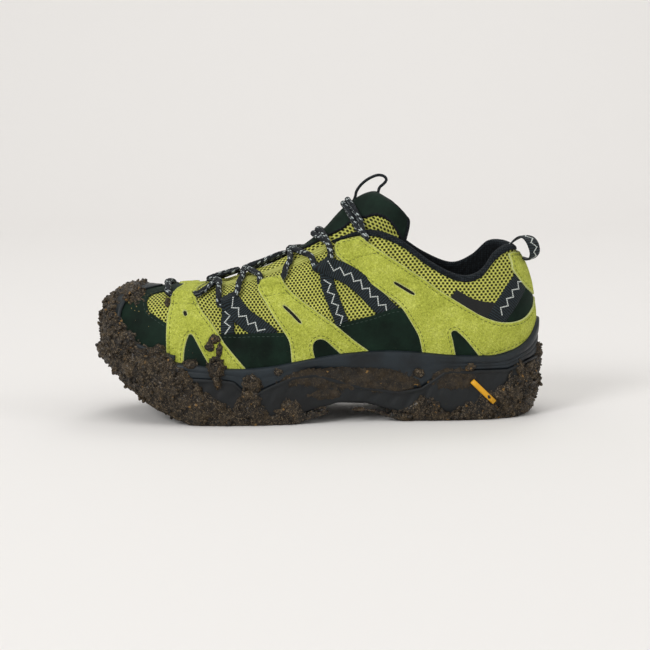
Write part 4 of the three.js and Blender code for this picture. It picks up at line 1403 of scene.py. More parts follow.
def midsole():
    """Moulded foam cup: a rounded lip round the upper, a step below it, a hollow at the arch."""
    s = np.linspace(0, AROUND, 480, endpoint=False)
    rim = rim_place(s)
    top = offset(s, rim, GAP + FACET)
    edge = lowered(offset(s, rim, RIM), 1)
    low = outline(s, 0.8, lambda x: wave(x) + GAP)
    middle = edge * 0.55 + low * 0.45 - [0, 0, 0.5]
    foot = offset(s, np.zeros(len(s)), GAP + FACET)
    foot[:, 2] = height_at(FOOT_BED, foot[:, 0])
    out = np.column_stack([outward_at(s), np.zeros(len(s))])
    x = middle[:, :1]
    arch = smoothstep((x + 22) / 18) * smoothstep((62 - x) / 18)
    heel = smoothstep((x - 78) / 12)
    inner_lip = top + (edge - top) * 0.25 + [0, 0, 0.35]
    rings = [foot, offset(s, rim / 2, GAP + FACET), lowered(top, 0.8), top, inner_lip,
             top + (edge - top) * 0.7 + [0, 0, 0.2], edge + out * 0.05]
    steps = [(0.08, 0.35, 0, 0), (0.2, 0.5, 0, 0), (0.34, 0.35, 0, 0), (0.4, -0.1, 0, -0.6),
             (0.46, 0.1, -1.2, 0.2), (0.58, 0.2, -1.8, 0.3), (0.66, 0.1, -1.9, -0.5),
             (0.7, 0.1, -1.8, 0.2), (0.85, 0.1, -1.2, 0.3), (1, 0, 0, 0)]
    for k, bulge, hollow, step in steps:
        line = edge + (middle - edge) * k / 0.45 if k < 0.45 else (
            middle + (low - middle) * (k - 0.45) / 0.55)
        rings.append(line + out * (bulge + hollow * arch + step * heel))
    rings += [outline(s, WRAP + GAP, lambda x: wave(x) + GAP),
              outline(s, WRAP + 0.5 * lower_inset(s) + GAP, lambda x: sole_floor(x) + GAP)]
    return capped(np.stack(rings))


def outsole_cup():
    """Rubber cup: a rolled lip along the wavy top and moulded flutes down its side."""
    s = np.linspace(0, AROUND, 560, endpoint=False)
    inset = lower_inset(s)
    out = np.column_stack([outward_at(s), np.zeros(len(s))])
    foot, middle = outline(s, inset, tread), outline(s, 0.3 * inset, side_foot)
    top = outline(s, 0, wave)
    rings = [foot - out * 1.2, foot + [0, 0, 1.0]]
    for k in (0.35, 0.7):
        rings.append(foot + (middle - foot) * k)
    for k in np.linspace(0, 0.8, 7):
        line = middle + (top - middle) * k
        flute = np.sin((line[:, :1] - 7 * k) * 2 * math.pi / 11.5)
        deep = math.sin(math.pi * (0.15 + k * 0.9)) * 0.9
        rings.append(line + out * deep * np.minimum(flute, 0.15))
    rings += [middle + (top - middle) * 0.86 + out * 0.5,
              middle + (top - middle) * 0.94 + out * 0.7,
              top + out * 0.35 + [0, 0, 0.15], outline(s, 0.7, lambda x: wave(x) + 0.2),
              outline(s, WRAP, wave), outline(s, WRAP + 0.5 * inset, sole_floor)]
    return capped(np.stack(rings))


def rib_at_x(x, side):
    s = np.linspace(0.3, TOE - 0.3, 400)
    s = s if side < 0 else AROUND - s
    along_x = outline(s, lower_inset(s), tread)[:, 0]
    return np.interp(-x, -along_x, s)


def lug_block(footprint, chamfer=0.8):
    """Tread block over a footprint in x and y, with its lower edge eased."""
    p = np.array(footprint, float)
    centre = p.mean(0)
    small = p + unit(centre - p) * chamfer
    rings = [np.column_stack([p, tread(p[:, 0]) + 1.5]),
             np.column_stack([p, ground(p[:, 0]) + chamfer]),
             np.column_stack([small, ground(small[:, 0])])]
    return capped(np.stack(rings))


def lugs():
    """Rows of tread: a block at each edge and an arrow in the middle."""
    blocks = []
    rows = [(x, -1) for x in range(-126, -19, LUG_PITCH)]
    rows += [(x, 1) for x in range(64, 141, LUG_PITCH)]
    for x, way in rows:
        for side in (-1, 1):
            s = np.array([rib_at_x(x - 4.2, side), rib_at_x(x, side), rib_at_x(x + 4.2, side)])
            rim = outline(s, lower_inset(s) + 0.7, tread)[:, :2]
            inner_y = side * min(22, abs(rim[1, 1]) * 0.55)
            inner = [(x + 4.2 + way * 3, inner_y), (x + way * 3, inner_y * 0.88),
                     (x - 4.2 + way * 3, inner_y)]
            blocks.append(lug_block([*rim.tolist(), *inner]))
        narrow = min(1, abs(rim[1, 1]) / 40)
        blocks.append(lug_block([
            (x + way * 5, 0), (x - way, 13 * narrow), (x - way * 7, 16 * narrow),
            (x - way * 3, 0), (x - way * 7, -16 * narrow), (x - way, -13 * narrow)]))
    return blocks


def bumper_edges(s):
    """t of the toe cap's lower and upper edge."""
    away = np.abs(s - TOE)
    low = t_at_height(s, rib_at(s)[:, 10] + 0.8) + 0.004
    peak = 0.72 * (1 - smoothstep(away / 2.1))
    skirt = 0.3 * (1 - smoothstep(away / (BUMPER_REACH + 0.3)))
    return low, low + 0.03 + np.maximum(0, peak - low) * 0.85 + skirt * 0.35


def toe_bumper():
    """Rubber toe cap: low along the sides, with a peak over the middle of the toe."""
    s = np.linspace(TOE - BUMPER_REACH, TOE + BUMPER_REACH, 180)
    low, high = bumper_edges(s)
    k = np.linspace(0, 1, 22)
    t = low[:, None] + (high - low)[:, None] * k
    base = GAP + 3 * FACET
    rolled = BUMPER * (0.35 + 0.65 * smoothstep((1 - k) * 9)) * (0.6 + 0.4 * smoothstep(k * 9))
    inner = offset(s[:, None], t, np.full(t.shape, base))
    outer = offset(s[:, None], t, np.broadcast_to(base + rolled, t.shape))
    return capped(np.concatenate([inner, outer[:, ::-1]], axis=1))


# ---- laces and loops

FRONT_RUN = [(12.9, 0.64), (13.3, 0.7), (14.1, 0.77), (15, 0.785)]
# Crossings: out of the shoe, the crest, the way along the ridge of the strand that goes to the
# inner side, and back in
CROSSES = [
    ([(11.72, 0.7), (11.6, 0.84), (11.6, 0.97)], (-76, 92.4),
     [(-66, 1.8, 95.8), (-56.5, 4.2, 98)], [(10.87, 0.68), (11.08, 0.8), (11.4, 0.95)]),
    ([(10.3, 0.72), (10.35, 0.85), (10.3, 0.97)], (-51, 99.8),
     [(-39, 2, 104.2), (-28, 4.5, 108.4), (-24.5, 10, 107.8)],
     [(9.69, 0.78), (9.75, 0.88), (9.9, 0.97)]),
    ([(9.12, 0.79), (9.1, 0.89), (9, 0.98)], (-21, 112.8),
     [(-19, 3, 113)], [(8.36, 0.8), (8.45, 0.89), (8.6, 0.98)]),
]
BARS = [
    ([(7.95, 0.87), (8, 0.98)], [(-0.6, 12, 123.2)], (-3.5, 124.4)),
    ([(6.92, 0.955), (7, 1)], [(24.4, 22, 131.4), (20, 12, 140.2)], (16.9, 144.7)),
]
BAR_STEP = (2.9, 2.6)  # from one lace of a bar to the other, in x and z


def rest_on(places, side, height=LACE_LIFT):
    s = np.array([p[0] if side < 0 else AROUND - p[0] for p in places])
    t = np.array([p[1] for p in places])
    return offset(s, t, np.full(len(s), height))


def bar_run(bar, k, side):
    """Half of a bar, from its eyelet on one side to the middle."""
    edge, over, middle = bar
    spots = [(x + k * BAR_STEP[0], side * y, z + k * BAR_STEP[1]) for x, y, z in over]
    centre = (middle[0] + k * BAR_STEP[0], 0, middle[1] + k * BAR_STEP[1])
    return np.array([*rest_on(edge, side), *spots, centre])


def lacing():
    """Two mirrored strands from the front run to the first bar, and the two of the top bar."""
    strands = []
    for side in (-1, 1):
        path = [rest_on(FRONT_RUN[::-1], side), rest_on(LACE_TUNNELS[0], side, LACE_HIDDEN)]
        now = side
        for n, (start, crest, ridge, end) in enumerate(CROSSES):
            path += [rest_on(start, now), np.array([[crest[0], 0, crest[1]]])]
            now = -now
            if now > 0:
                path.append(np.array(ridge))
            path += [rest_on(end[::-1], now),
                     rest_on(LACE_TUNNELS[n + 1], now, LACE_HIDDEN)]
        k = 0.5 * side
        path += [bar_run(BARS[0], k, now), bar_run(BARS[0], k, -now)[-2::-1],
                 rest_on(LACE_TUNNELS[3][::-1][:2], -now, LACE_HIDDEN - 1.4)]
        strands.append(np.concatenate(path))
        hidden = [rest_on(LACE_TUNNELS[4][::-1], way, LACE_HIDDEN) for way in (-1, 1)]
        strands.append(np.concatenate([hidden[0], bar_run(BARS[1], k, -1),
                                       bar_run(BARS[1], k, 1)[-2::-1], hidden[1][::-1]]))
    parts = []
    for strand in strands:
        path = along(strand, 0.8)
        length = np.arange(len(path)) * 0.8
        turn = np.linspace(0, 2 * math.pi, 14, endpoint=False)
        weave = np.maximum(np.sin(3 * turn + length[:, None] * 2.4),
                           np.sin(3 * turn - length[:, None] * 2.4))
        parts.append(tube(path, LACE / 2, 14, 0.93 + 0.07 * weave))
    return joined(parts)


# Loop at the heel: its middle line as distance behind PULL_FOOT and height, from under the
# binding round to under the back tab. Its middle is turned to the outer side.
PULL_FOOT = 133.5
PULL_LOOP = [(-4.5, 113.2), (-2, 115.8), (1.5, 118.6), (6, 120.4), (11, 119.6), (14.6, 116),
             (15.2, 111), (12.6, 107.2), (9, 105.8), (6, 106.3), (2.6, 107.4)]
PULL_TAPE = 12
PULL_TURN = math.radians(-46)


def pull_loop():
    """Loop of tape at the back of the collar, and the zigzag of pale thread on it."""
    step = 0.7
    line = along(np.array(PULL_LOOP, float), step)
    count = len(line)
    path = np.column_stack([line[:, 0], np.zeros(count), line[:, 1]])
    ahead = unit(np.gradient(path, axis=0))
    normal = np.column_stack([-ahead[:, 2], np.zeros(count), ahead[:, 0]])
    turn = PULL_TURN * np.sin(math.pi * np.linspace(0, 1, count))
    twist = np.zeros((count, 3, 3))
    twist[:, 0, 0] = twist[:, 1, 1] = np.cos(turn)
    twist[:, 0, 1], twist[:, 1, 0], twist[:, 2, 2] = np.sin(turn), -np.sin(turn), 1

    def at(index, across, height):
        """Points of the loop: index counts along it."""
        pick = lambda a: np.stack([np.interp(index, np.arange(count), a[:, n])
                                   for n in range(3)], 1)
        spot = pick(path) + pick(normal) * np.reshape(height, (-1, 1))
        spot[:, 1] = across
        near = np.clip(np.round(index).astype(int), 0, count - 1)
        return np.einsum("ni,nij->nj", spot, twist[near]) + [PULL_FOOT, 0, 0]

    across = np.linspace(-0.5, 0.5, ACROSS_TAPE) * PULL_TAPE
    edge = tape_edge(across, PULL_TAPE)
    side = np.r_[across, across[::-1]]
    height = np.r_[edge * 0.5, (WEBBING - edge)[::-1]]
    grid = [g.ravel() for g in np.meshgrid(np.arange(count), side, indexing="ij")]
    rings = at(grid[0].astype(float), grid[1], np.tile(height, count)).reshape(count, -1, 3)
    chart = np.stack(np.broadcast_arrays(np.arange(count)[:, None] * step, side), -1)
    loop = (*capped(rings), chart.reshape(-1, 2))

    spots, way, half, bend = [], 1, 2.2, 4.2  # half width in mm, steps to the next bend
    for n in np.arange(3.0, count - 8, bend):
        spots += [(n + k * bend, way * (half - 2 * half * k)) for k in (0, 0.25, 0.5, 0.75, 1)]
        way = -way
    spots = np.array(spots)
    centre = at(spots[:, 0], spots[:, 1], np.full(len(spots), WEBBING - 0.05))
    above = at(spots[:, 0], spots[:, 1], np.full(len(spots), WEBBING + 1))
    up = unit(above - centre)
    ahead = unit(np.gradient(centre, axis=0))
    aside = unit(np.cross(up, ahead))
    size = np.tile(PULL_STITCH, (len(centre), 1))
    return loop, set_out(STITCH, centre, ahead, aside, up, size)


def tongue_cord(material):
    """Thin cord whose two ends are sewn into the tongue, as a standing loop."""
    sewn_in = [(22, 0, 144), *TONGUE_CORD, (39.0, 0, 149.5)]
    path = (along(np.array(sewn_in, float), 1.2) - MIDDLE) * MM
    curve = bpy.data.curves.new("tongue_cord_loop", "CURVE")
    curve.dimensions = "3D"
    curve.bevel_depth = CORD / 2 * MM
    curve.bevel_resolution = 4
    curve.use_fill_caps = True
    line = curve.splines.new("POLY")
    line.points.add(len(path) - 1)
    line.points.foreach_set("co", np.column_stack([path, np.ones(len(path))]).ravel())
    curve.materials.append(material)
    piece = bpy.data.objects.new("tongue_cord_loop", curve)
    bpy.context.scene.collection.objects.link(piece)
    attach(piece, "root")
    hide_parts("tongue_cord")


# ---- mud

# Top edge of the caked soil, as (rib, z) in mm from the heel round by the outer side to the
# toe, and back to the heel by the inner side
SOIL_TOP = [
    (0, 47), (0.35, 46), (0.7, 40), (1.2, 35), (1.8, 31), (2.15, 24), (2.5, 18), (3.0, 15),
    (3.6, 8), (4.2, 9), (4.8, 19), (5.3, 9), (6.2, 6), (7.2, 6), (8.0, 8), (8.5, 19), (8.9, 8),
    (9.3, 27), (9.6, 25), (9.9, 10), (10.3, 15), (10.7, 26), (10.95, 33), (11.4, 40), (11.8, 47),
    (12.0, 52), (12.25, 50), (12.8, 58), (13.1, 62.5), (13.5, 65), (13.8, 69), (14.1, 79),
    (14.4, 86), (14.9, 90), (15.3, 92), (15.8, 89), (16.2, 80), (16.6, 66), (17.2, 58), (17.7, 58),
    (18.2, 48), (18.9, 38), (19.5, 30), (20.1, 18), (20.8, 24), (21.6, 12), (22.6, 7),
    (23.8, 6), (25.0, 9), (25.6, 20), (26.3, 12), (27.2, 20), (28.0, 28), (28.8, 33),
    (29.4, 40), (29.75, 46), (30, 47),
]
# How thick it lies, as (rib, mm)
SOIL_DEPTH = [
    (0, 2.8), (1.5, 2.8), (3, 2.0), (5, 2.0), (7, 1.4), (9, 2.2), (10.5, 3.0), (11.5, 3.6),
    (12.5, 3.8), (13.7, 3.2), (15, 2.6), (16.5, 3.0), (18, 3.0), (20, 2.4), (22, 1.6),
    (25, 1.8), (28, 2.4), (30, 2.8),
]
# Lumps that stand by themselves, as (x, z, half length, half height, thickness) in mm
CLODS_OUTER = [
    (-71.5, 57, 5, 3.2, 2.6), (-75, 52.5, 3.6, 3.4, 2.2), (-68.3, 50, 2.2, 6, 2.0),
    (-70.5, 39, 6.2, 8, 4.6), (-70, 30, 3.4, 5, 3.6), (-46.5, 28, 7.5, 7, 3.4),
    (-30, 36, 3.2, 2.6, 1.4), (-103, 80.4, 1.8, 2.2, 1.5), (-88, 41, 5, 3, 1.6),
    (64, 33, 5, 3.4, 1.8), (99, 36.5, 4, 3, 1.4), (-127, 85, 8, 7, 4.0),
]
CLODS_INNER = [
    (-78, 40, 6, 7, 3.4), (-52, 30, 5, 5, 2.6), (-20, 30, 4, 3, 1.8), (60, 34, 6, 4, 2.2),
    (-96, 52, 3, 4, 2.0), (104, 38, 5, 3.4, 1.8),
]
# Thin brown splashes on the arch and by the heel
SPLASHES = [(20, 30, 38, 7.5, 0.5), (-14, 31, 16, 5, 0.4), (44, 26, 24, 7, 0.4),
            (88, 28, 16, 8, 0.5), (2, 20, 12, 4, 0.4)]
BARE_TOP = [(0, -60), (AROUND, -60)]  # below the shoe: nothing but the splashes
BARE_DEPTH = [(0, 0), (AROUND, 0)]
SOIL_REACH = 108  # mm up the side, from the lugs, that soil can lie
SOIL_FOOT = 18  # mm over which it thins towards the lugs
SOLE_BAR = [(100, 27), (103, 24), (107, 20), (111, 16), (115, 12)]  # its middle line, x and z


def side_profile(s):
    """Chain of points up the outside of the shoe, from the lugs to the toe's top."""
    rim = rim_place(s)
    edge = lowered(offset(s, rim, RIM), 1)
    low = outline(s, 0.8, lambda x: wave(x) + GAP)
    inset = lower_inset(s)
    chain = [outline(s, inset + 0.7, ground), outline(s, inset, tread),
             outline(s, 0.3 * inset, side_foot),
             outline(s, 0, wave), (edge + low) / 2 - [0, 0, 0.5], edge]
    cap_top = bumper_edges(s)[1]
    for share in (0.04, 0.09, 0.15, 0.22, 0.29, 0.36, 0.43, 0.5, 0.58):
        t = np.minimum(rim + share, 0.9)
        on_cap = smoothstep((cap_top + 0.03 - t) / 0.04) * (np.abs(s - TOE) < BUMPER_REACH)
        chain.append(offset(s, t, 1.5 + (BUMPER - 0.4) * on_cap))
    return np.stack(chain, 1)


def sole_bar(half=1.7, rise=2.8):
    """Plain raised bar on the rubber at the outer side of the heel. Mud lies round it."""
    s = np.linspace(0.6, 3.6, 160)
    chains = side_profile(s)[:, 1:4]
    rings = []
    for x, z in SOLE_BAR:
        x_at, y_at = [[np.interp(z, c[:, 2], c[:, n]) for c in chains] for n in (0, 1)]
        y = np.interp(-x, -np.array(x_at), y_at)
        out = np.array([*outward_at(np.interp(-x, -np.array(x_at), s))[0], 0])
        across = unit(np.cross(out, unit(np.array([1.0, 0, -1.0]))))
        low, high = np.array([x, y, z]) - out, np.array([x, y, z]) + out * rise
        rings.append([low - across * half, high - out * 0.5 - across * half,
                      high - across * half * 0.7, high + across * half * 0.7,
                      high - out * 0.5 + across * half, low + across * half])
    return capped(np.array(rings))


def crumbly(points, size):
    """Heights of packed round crumbs, about 0 to 1."""
    heights = np.zeros(len(points))
    for n, p in enumerate(points / size):
        gaps = noise.voronoi(Vector(p))[0]
        heights[n] = math.sqrt(max(0, 1 - (gaps[0] / 0.75) ** 2))
    return heights


def rough(points, size, octaves=4):
    scale = 1 / size
    return np.array([noise.fractal(Vector(p * scale), 0.9, 2.1, octaves) for p in points])


def coat(top, depth, clods, low, high, columns, rows, ragged=6.0, crumb=1.0):
    """Layer of soil over one side of the shoe, with a ragged edge: under the top edge that is
    given by ribs, and on the clods. Returns its body, and the points that crumbs can stick to
    with their normals."""
    s = np.linspace(low, high, columns)
    chain = side_profile(s)
    length = np.concatenate([np.zeros((columns, 1)), np.cumsum(
        np.linalg.norm(np.diff(chain, axis=1), axis=2), axis=1)], axis=1)
    at = np.linspace(0, 1, rows)[None] * np.minimum(length[:, -1:], SOIL_REACH)
    grid = np.stack([[np.interp(a, l, c[:, n]) for a, l, c in zip(at, length, chain)]
                     for n in range(3)], -1)
    normal = unit(np.cross(np.gradient(grid, axis=1), np.gradient(grid, axis=0)))
    outwards = np.column_stack([outward_at(s), np.zeros(columns)])[:, None]
    normal = np.where((normal * outwards).sum(-1, keepdims=True) < 0, -normal, normal)
    points, normal = grid.reshape(-1, 3), normal.reshape(-1, 3)
    rib = np.repeat(s % AROUND, rows)
    broken = rough(points, 11.0, 5)
    fine = rough(points + 60, 3.0, 4)
    under = np.interp(rib, *np.array(top, float).T) - points[:, 2]
    cover = np.clip((under + ragged * (broken + 0.5 * fine)) / 4, -1, 2)
    thick = np.interp(rib, *np.array(depth, float).T) * (0.35 + 0.65 * smoothstep(cover / 2))
    thick *= 0.3 + 0.7 * smoothstep(at.ravel() / SOIL_FOOT)
    for x, z, half_x, half_z, deep in clods:
        away = np.hypot((points[:, 0] - x) / half_x, (points[:, 2] - z) / half_z)
        near = (1 - away + 0.3 * fine + 0.15 * broken) * 1.6
        thick = np.where(near > cover, deep * smoothstep(near * 1.3), thick)
        cover = np.maximum(cover, np.minimum(near, 2))
    lump = rough(points + 40, 7.0, 5)
    crumbs = crumbly(points, 2.7) * 0.55 + crumbly(points + 17, 1.5) * 0.45
    clumps = crumbly(points + normal * lump[:, None] * 6 + 90, 8.5)
    body = thick * smoothstep(cover * 1.6) * np.clip(0.2 + 0.75 * clumps + 0.6 * lump, 0.1, 1.3)
    height = body + crumb * crumbs * 1.3 * smoothstep(cover * 3) - 0.8 * (1 - smoothstep(cover * 6))
    placed = points + normal * height[:, None]
    placed[:, 2] = np.maximum(placed[:, 2], 0.25)
    behind = points - normal * 1.1
    behind[:, 2] = np.maximum(behind[:, 2], 0.05)
    # The chart's first number, how far a place stands up, sets the soil's painted shade: dark in
    # its cracks, paler on its crumbs.
    chart = np.column_stack([np.clip(0.55 * crumbs + 0.4 * clumps + 0.3 * lump, 0, 1), cover])
    quads = np.array(grid_faces(columns, rows))
    quads = quads[(cover > -0.1)[quads].any(axis=1)]
    used, index = np.unique(quads, return_inverse=True)
    layer = closed_layer(placed[used], behind[used], index.reshape(-1, 4), chart[used])
    firm = used[cover[used] > 0.3]
    return layer, placed[firm], normal[firm]


def crumb_shape(seed):
    """A small lump with uneven sides."""
    ball = bmesh.new()
    bmesh.ops.create_icosphere(ball, subdivisions=2, radius=1)
    points = np.array([v.co[:] for v in ball.verts])
    faces = [[v.index for v in f.verts] for f in ball.faces]
    ball.free()
    bumps = 1 + 0.35 * rough(points + seed * 7.3, 0.9, 3)[:, None]
    return points * bumps, faces


def crumbs_on(points, normal, count, smallest, largest, dice):
    """Loose crumbs stuck over a layer of soil, or over any other points."""
    picked = dice.choice(len(points), count)
    parts, charts = [], []
    for kind in range(5):
        mine = picked[kind::5]
        shape = crumb_shape(kind + 1)
        size = smallest + (largest - smallest) * dice.random(len(mine)) ** 3
        size = size[:, None] * dice.uniform(0.6, 1.2, (len(mine), 3))
        ahead = unit(dice.normal(size=(len(mine), 3)))
        up = unit(np.cross(ahead, dice.normal(size=(len(mine), 3))))
        centre = points[mine] + normal[mine] * (size[:, :1] * 0.35)
        centre[:, 2] = np.maximum(centre[:, 2], size.max(1) * 1.25)
        part = set_out(shape, centre, ahead, np.cross(up, ahead), up, size)
        parts.append(part)
        tone = np.repeat(dice.uniform(0.25, 0.95, len(mine)), len(shape[0]))
        charts.append(np.column_stack([tone, tone]))
    points, faces = joined(parts)
    return points, faces, np.concatenate(charts)


# ---- camera, light and floor

def aim(thing, target):
    way = Vector(target) - thing.location
    thing.rotation_euler = way.to_track_quat("-Z", "Y").to_euler()


def camera():
    lens = bpy.data.cameras.new("side_view")
    lens.lens = 100
    lens.sensor_width = 36
    eye = bpy.data.objects.new("side_view", lens)
    bpy.context.scene.collection.objects.link(eye)
    target = (np.array([3.0, 0, 60.0]) - MIDDLE) * MM
    turned, raised, away = math.radians(-2), math.radians(7.5), 1.24
    back = Vector((math.sin(turned) * math.cos(raised), -math.cos(turned) * math.cos(raised),
                   math.sin(raised)))
    eye.location = Vector(target) + back * away
    aim(eye, target)
    bpy.context.scene.camera = eye


def soft_light(name, place, target, size, power):
    light = bpy.data.lights.new(name, "AREA")
    light.shape = "DISK"
    light.size = size
    light.energy = power
    lamp = bpy.data.objects.new(name, light)
    bpy.context.scene.collection.objects.link(lamp)
    lamp.location = place
    aim(lamp, target)


def studio():
    """Pale floor that curves up behind, and large soft lights."""
    x = np.linspace(-4, 4, 2)
    bend = np.linspace(0, math.pi / 2, 24)
    profile = [(-3.0, 0.0), *[(1.6 + 1.2 * math.sin(a), 1.2 - 1.2 * math.cos(a)) for a in bend],
               (2.8, 4.0)]
    points = np.array([[(a, y, z) for a in x] for y, z in profile])
    mesh = bpy.data.meshes.new("pale_floor")
    flat, faces = sheet(points)
    mesh.from_pydata(flat.tolist(), [], faces)
    mesh.polygons.foreach_set("use_smooth", np.full(len(mesh.polygons), True))
    mesh.materials.append(plain("pale_paint", "#E9E7E5", 0.95))
    floor = bpy.data.objects.new("pale_floor", mesh)
    bpy.context.scene.collection.objects.link(floor)
    target = (0, 0, 0.06)
    soft_light("overhead", (-0.3, -0.2, 3.0), target, 2.4, 17)
    soft_light("front_left", (-2.4, -2.8, 2.2), target, 1.6, 78)
    soft_light("right", (2.6, -0.9, 1.6), target, 1.4, 10)
    soft_light("behind", (0.6, 2.0, 2.6), target, 1.4, 14)
    world = bpy.data.worlds.new("studio_air")
    world.use_nodes = True
    air = world.node_tree.nodes["Background"]
    air.inputs["Color"].default_value = linear("#FFFDFA")
    air.inputs["Strength"].default_value = 0.53
    bpy.context.scene.world = world
    bpy.context.scene.view_settings.view_transform = "Standard"


# ---- the shoe

camera()
tongue_cord(braided_cord())

SUEDE_FINISH = sanded_suede()
MESH_FINISH = open_mesh()
GREEN_FINISH = microfibre("deep_green_microfibre", "#08140E", "#15291F")
TONGUE_FINISH = microfibre("tongue_microfibre", "#0B1611", "#182A21")
TAPE_FINISH = woven_tape()
PALE_THREAD = sewing_thread("pale_thread", "#D4DAD6")
OLIVE_THREAD = sewing_thread("olive_thread", "#5C6326")
GREEN_THREAD = sewing_thread("green_thread", "#24382E")
# Soil colours: painted shade in the cracks, mid, paler crumb tops, the colour of the painted
# glints, and the water film's weight.
SOIL = wet_soil("wet_loam", "#040302", "#1A130A", "#46371F", "#84735A", 0.2)
FILM = wet_soil("dried_splash", "#0D0A06", "#211A10", "#3A2E1D", "#4E412D", 0.1)

add_piece("upper_mesh", upper(), MESH_FINISH, "suede_and_mesh", "upper")
add_piece("throat_facing", facing(), throat_facing(), "suede_and_mesh")

suede_parts, suede_rows, green_parts, green_rows = [], [], [], []
for loops in suede_cuts():
    suede_parts.append(panel(skin, loops, SUEDE, band_base, FOLD_ROWS))
    suede_rows += seam_rows(loops[:1], SUEDE, over_lace)
suede_rows += [stitches(skin, row, lambda p: band_base(p) + SUEDE) for row in FOLD_ROWS]
for loops, base in zip(green_cuts(), (flush, hem, hem, sunk)):
    green_parts.append(panel(skin, loops, MICROFIBRE, base, seam=0.12))
    green_rows += seam_rows(loops, MICROFIBRE, base)
add_piece("suede_bands", joined(suede_parts), SUEDE_FINISH, "suede_and_mesh")
# The near black sheet under the slots is painted shade.
add_piece("slot_shade_sheets", slot_shade_sheets(), painted("slot_shade_cloth", "#090B08", 0.9),
          "suede_and_mesh")
add_piece("suede_stitches", joined(suede_rows), OLIVE_THREAD, "suede_and_mesh")
add_piece("green_panels", joined(green_parts), GREEN_FINISH, "suede_and_mesh")
add_piece("green_stitches", joined(green_rows), GREEN_THREAD, "suede_and_mesh")

zigzags = []
for name, side in (("outer", -1), ("inner", 1)):
    front = [tape(on_side(FRONT_NARROW, side), NARROW_TAPE, NARROW_HEIGHT, (TUCK, 0)),
             tape(on_side(FRONT_WIDE, side), WIDE_TAPE, WIDE_HEIGHT, (0, TUCK))]
    rear = [tape(on_side(REAR_NARROW, side), NARROW_TAPE, NARROW_HEIGHT, (TUCK, 0)),
            tape(on_side(REAR_WIDE, side), WIDE_TAPE, WIDE_HEIGHT, (0, TUCK))]
    strap = tape(on_side(HEEL_STRAP, side), STRAP_TAPE, STRAP_HEIGHT)
    add_piece(f"lace_loop_front_{name}_tape", joined(front), TAPE_FINISH, "webbing",
              f"lace_loop_front_{name}")
    add_piece(f"lace_loop_rear_{name}_tape", joined(rear), TAPE_FINISH, "webbing",
              f"lace_loop_rear_{name}")
    add_piece(f"heel_strap_{name}_tape", strap, TAPE_FINISH, "webbing", f"heel_strap_{name}")
    label = panel(skin, [cut(skin, LABEL if side < 0 else mirrored(LABEL))], SATIN,
                  seam=0.08)
    add_piece(f"label_{name}", label, painted(f"satin_label_{name}", "#07090A", 0.8), "webbing")
    zigzags += [zigzag(on_side(FRONT_NARROW, side), NARROW_HEIGHT, 4, 6),
                zigzag(on_side(FRONT_WIDE, side), WIDE_HEIGHT, 6, 6),
                zigzag(on_side(REAR_NARROW, side), NARROW_HEIGHT, 4, 6),
                zigzag(on_side(REAR_WIDE, side), WIDE_HEIGHT, 6, 6),
                zigzag(on_side(HEEL_STRAP, side), STRAP_HEIGHT, 4, 5)]

loop, loop_thread = pull_loop()
add_piece("pull_loop_tape", loop, TAPE_FINISH, "webbing", "pull_loop")
add_piece("zigzag_stitches", joined([*zigzags, loop_thread]), PALE_THREAD, "webbing")
add_piece("laces", lacing(), braided_cord(), "lace", "lace_front", "lace_cross_1",
          "lace_cross_2", "lace_cross_3", "lace_bar_1", "lace_bar_2")

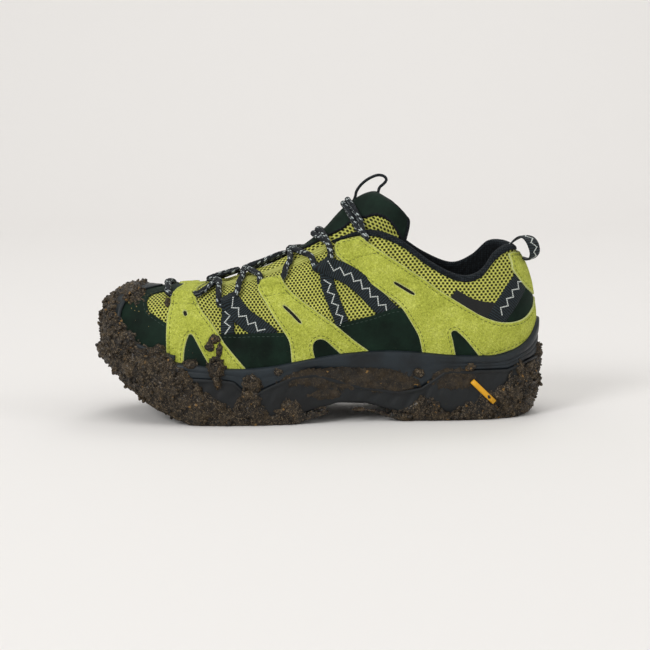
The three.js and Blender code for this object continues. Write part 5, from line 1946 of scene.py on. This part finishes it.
pad = add_piece("tongue_pad", tongue(), MESH_FINISH, "tongue_knit", "tongue")
add_piece("tongue_top", panel(tongue_skin, [cut(tongue_skin, TONGUE_TOP)], 0.8, seam=0.1),
          TONGUE_FINISH, "tongue_knit")
add_piece("tongue_binding", tongue_piping(), spacer_knit("binding_tape", "#0C0F11", "#22272C"),
          "lining")
ring, ring_faces, ring_pick = collar()
pad = add_piece("collar_pad", (ring, ring_faces),
                [spacer_knit("lining_knit", "#090B0D", "#1C2125"),
                 spacer_knit("collar_binding", "#101417", "#2C3237")],
                "lining", "collar_lining", pick=ring_pick)
add_piece("foot_bed", insole(), spacer_knit("foot_bed_cloth", "#0D1012", "#22272B"), "footbed",
          "insole")

add_piece("midsole_cup", midsole(), moulded_rubber("moulded_foam", "#10161A", "#232D34", 0.5),
          "foam", "midsole")
add_piece("outsole_cup", joined([outsole_cup(), *lugs()]),
          moulded_rubber("sole_rubber", "#0A0C0E", "#1C2124", 0.5), "rubber", "outsole")
add_piece("sole_bar", sole_bar(), painted("yellow_print", "#E6A70F", 0.5), "rubber")
add_piece("toe_cap", toe_bumper(), moulded_rubber("cap_rubber", "#11171A", "#262F33", 0.5),
          "cap_rubber", "toe_bumper")

# Soil for each side: its lumps, its ribs, its grid as columns and rows, and how many crumbs
dice = np.random.default_rng(11)
for side, clods, ribs, fineness, count in (
        ("outer", CLODS_OUTER, (-0.3, 15.4), (660, 136), 900),
        ("inner", CLODS_INNER, (14.6, 30.3), (430, 98), 500)):
    layer, spots, normals = coat(SOIL_TOP, SOIL_DEPTH, clods, *ribs, *fineness)
    add_piece(f"mud_{side}", layer, SOIL, "rubber")
    add_piece(f"mud_crumbs_{side}", crumbs_on(spots, normals, count, 0.4, 2.0, dice), SOIL,
              "rubber")
for side, ribs in (("outer", (2.6, 9.2)), ("inner", (20.8, 27.4))):
    layer, spots, normals = coat(BARE_TOP, BARE_DEPTH, SPLASHES, *ribs, 260, 96, crumb=0.15)
    add_piece(f"splash_{side}", layer, FILM, "rubber")
for name, low, high, material in (
        ("specks", (5, 0.1), (12, 0.24), SOIL),
        ("straw_flecks", (12.5, 0.3), (14.4, 0.62), painted("dry_straw", "#8C7C48", 0.8))):
    s, t = dice.uniform(low, high, (60, 2)).T
    add_piece(name, crumbs_on(offset(s, t, np.full(60, 1.0)), face_normal(s, t), 45, 0.2, 0.6,
                              dice), material, "rubber")

studio()
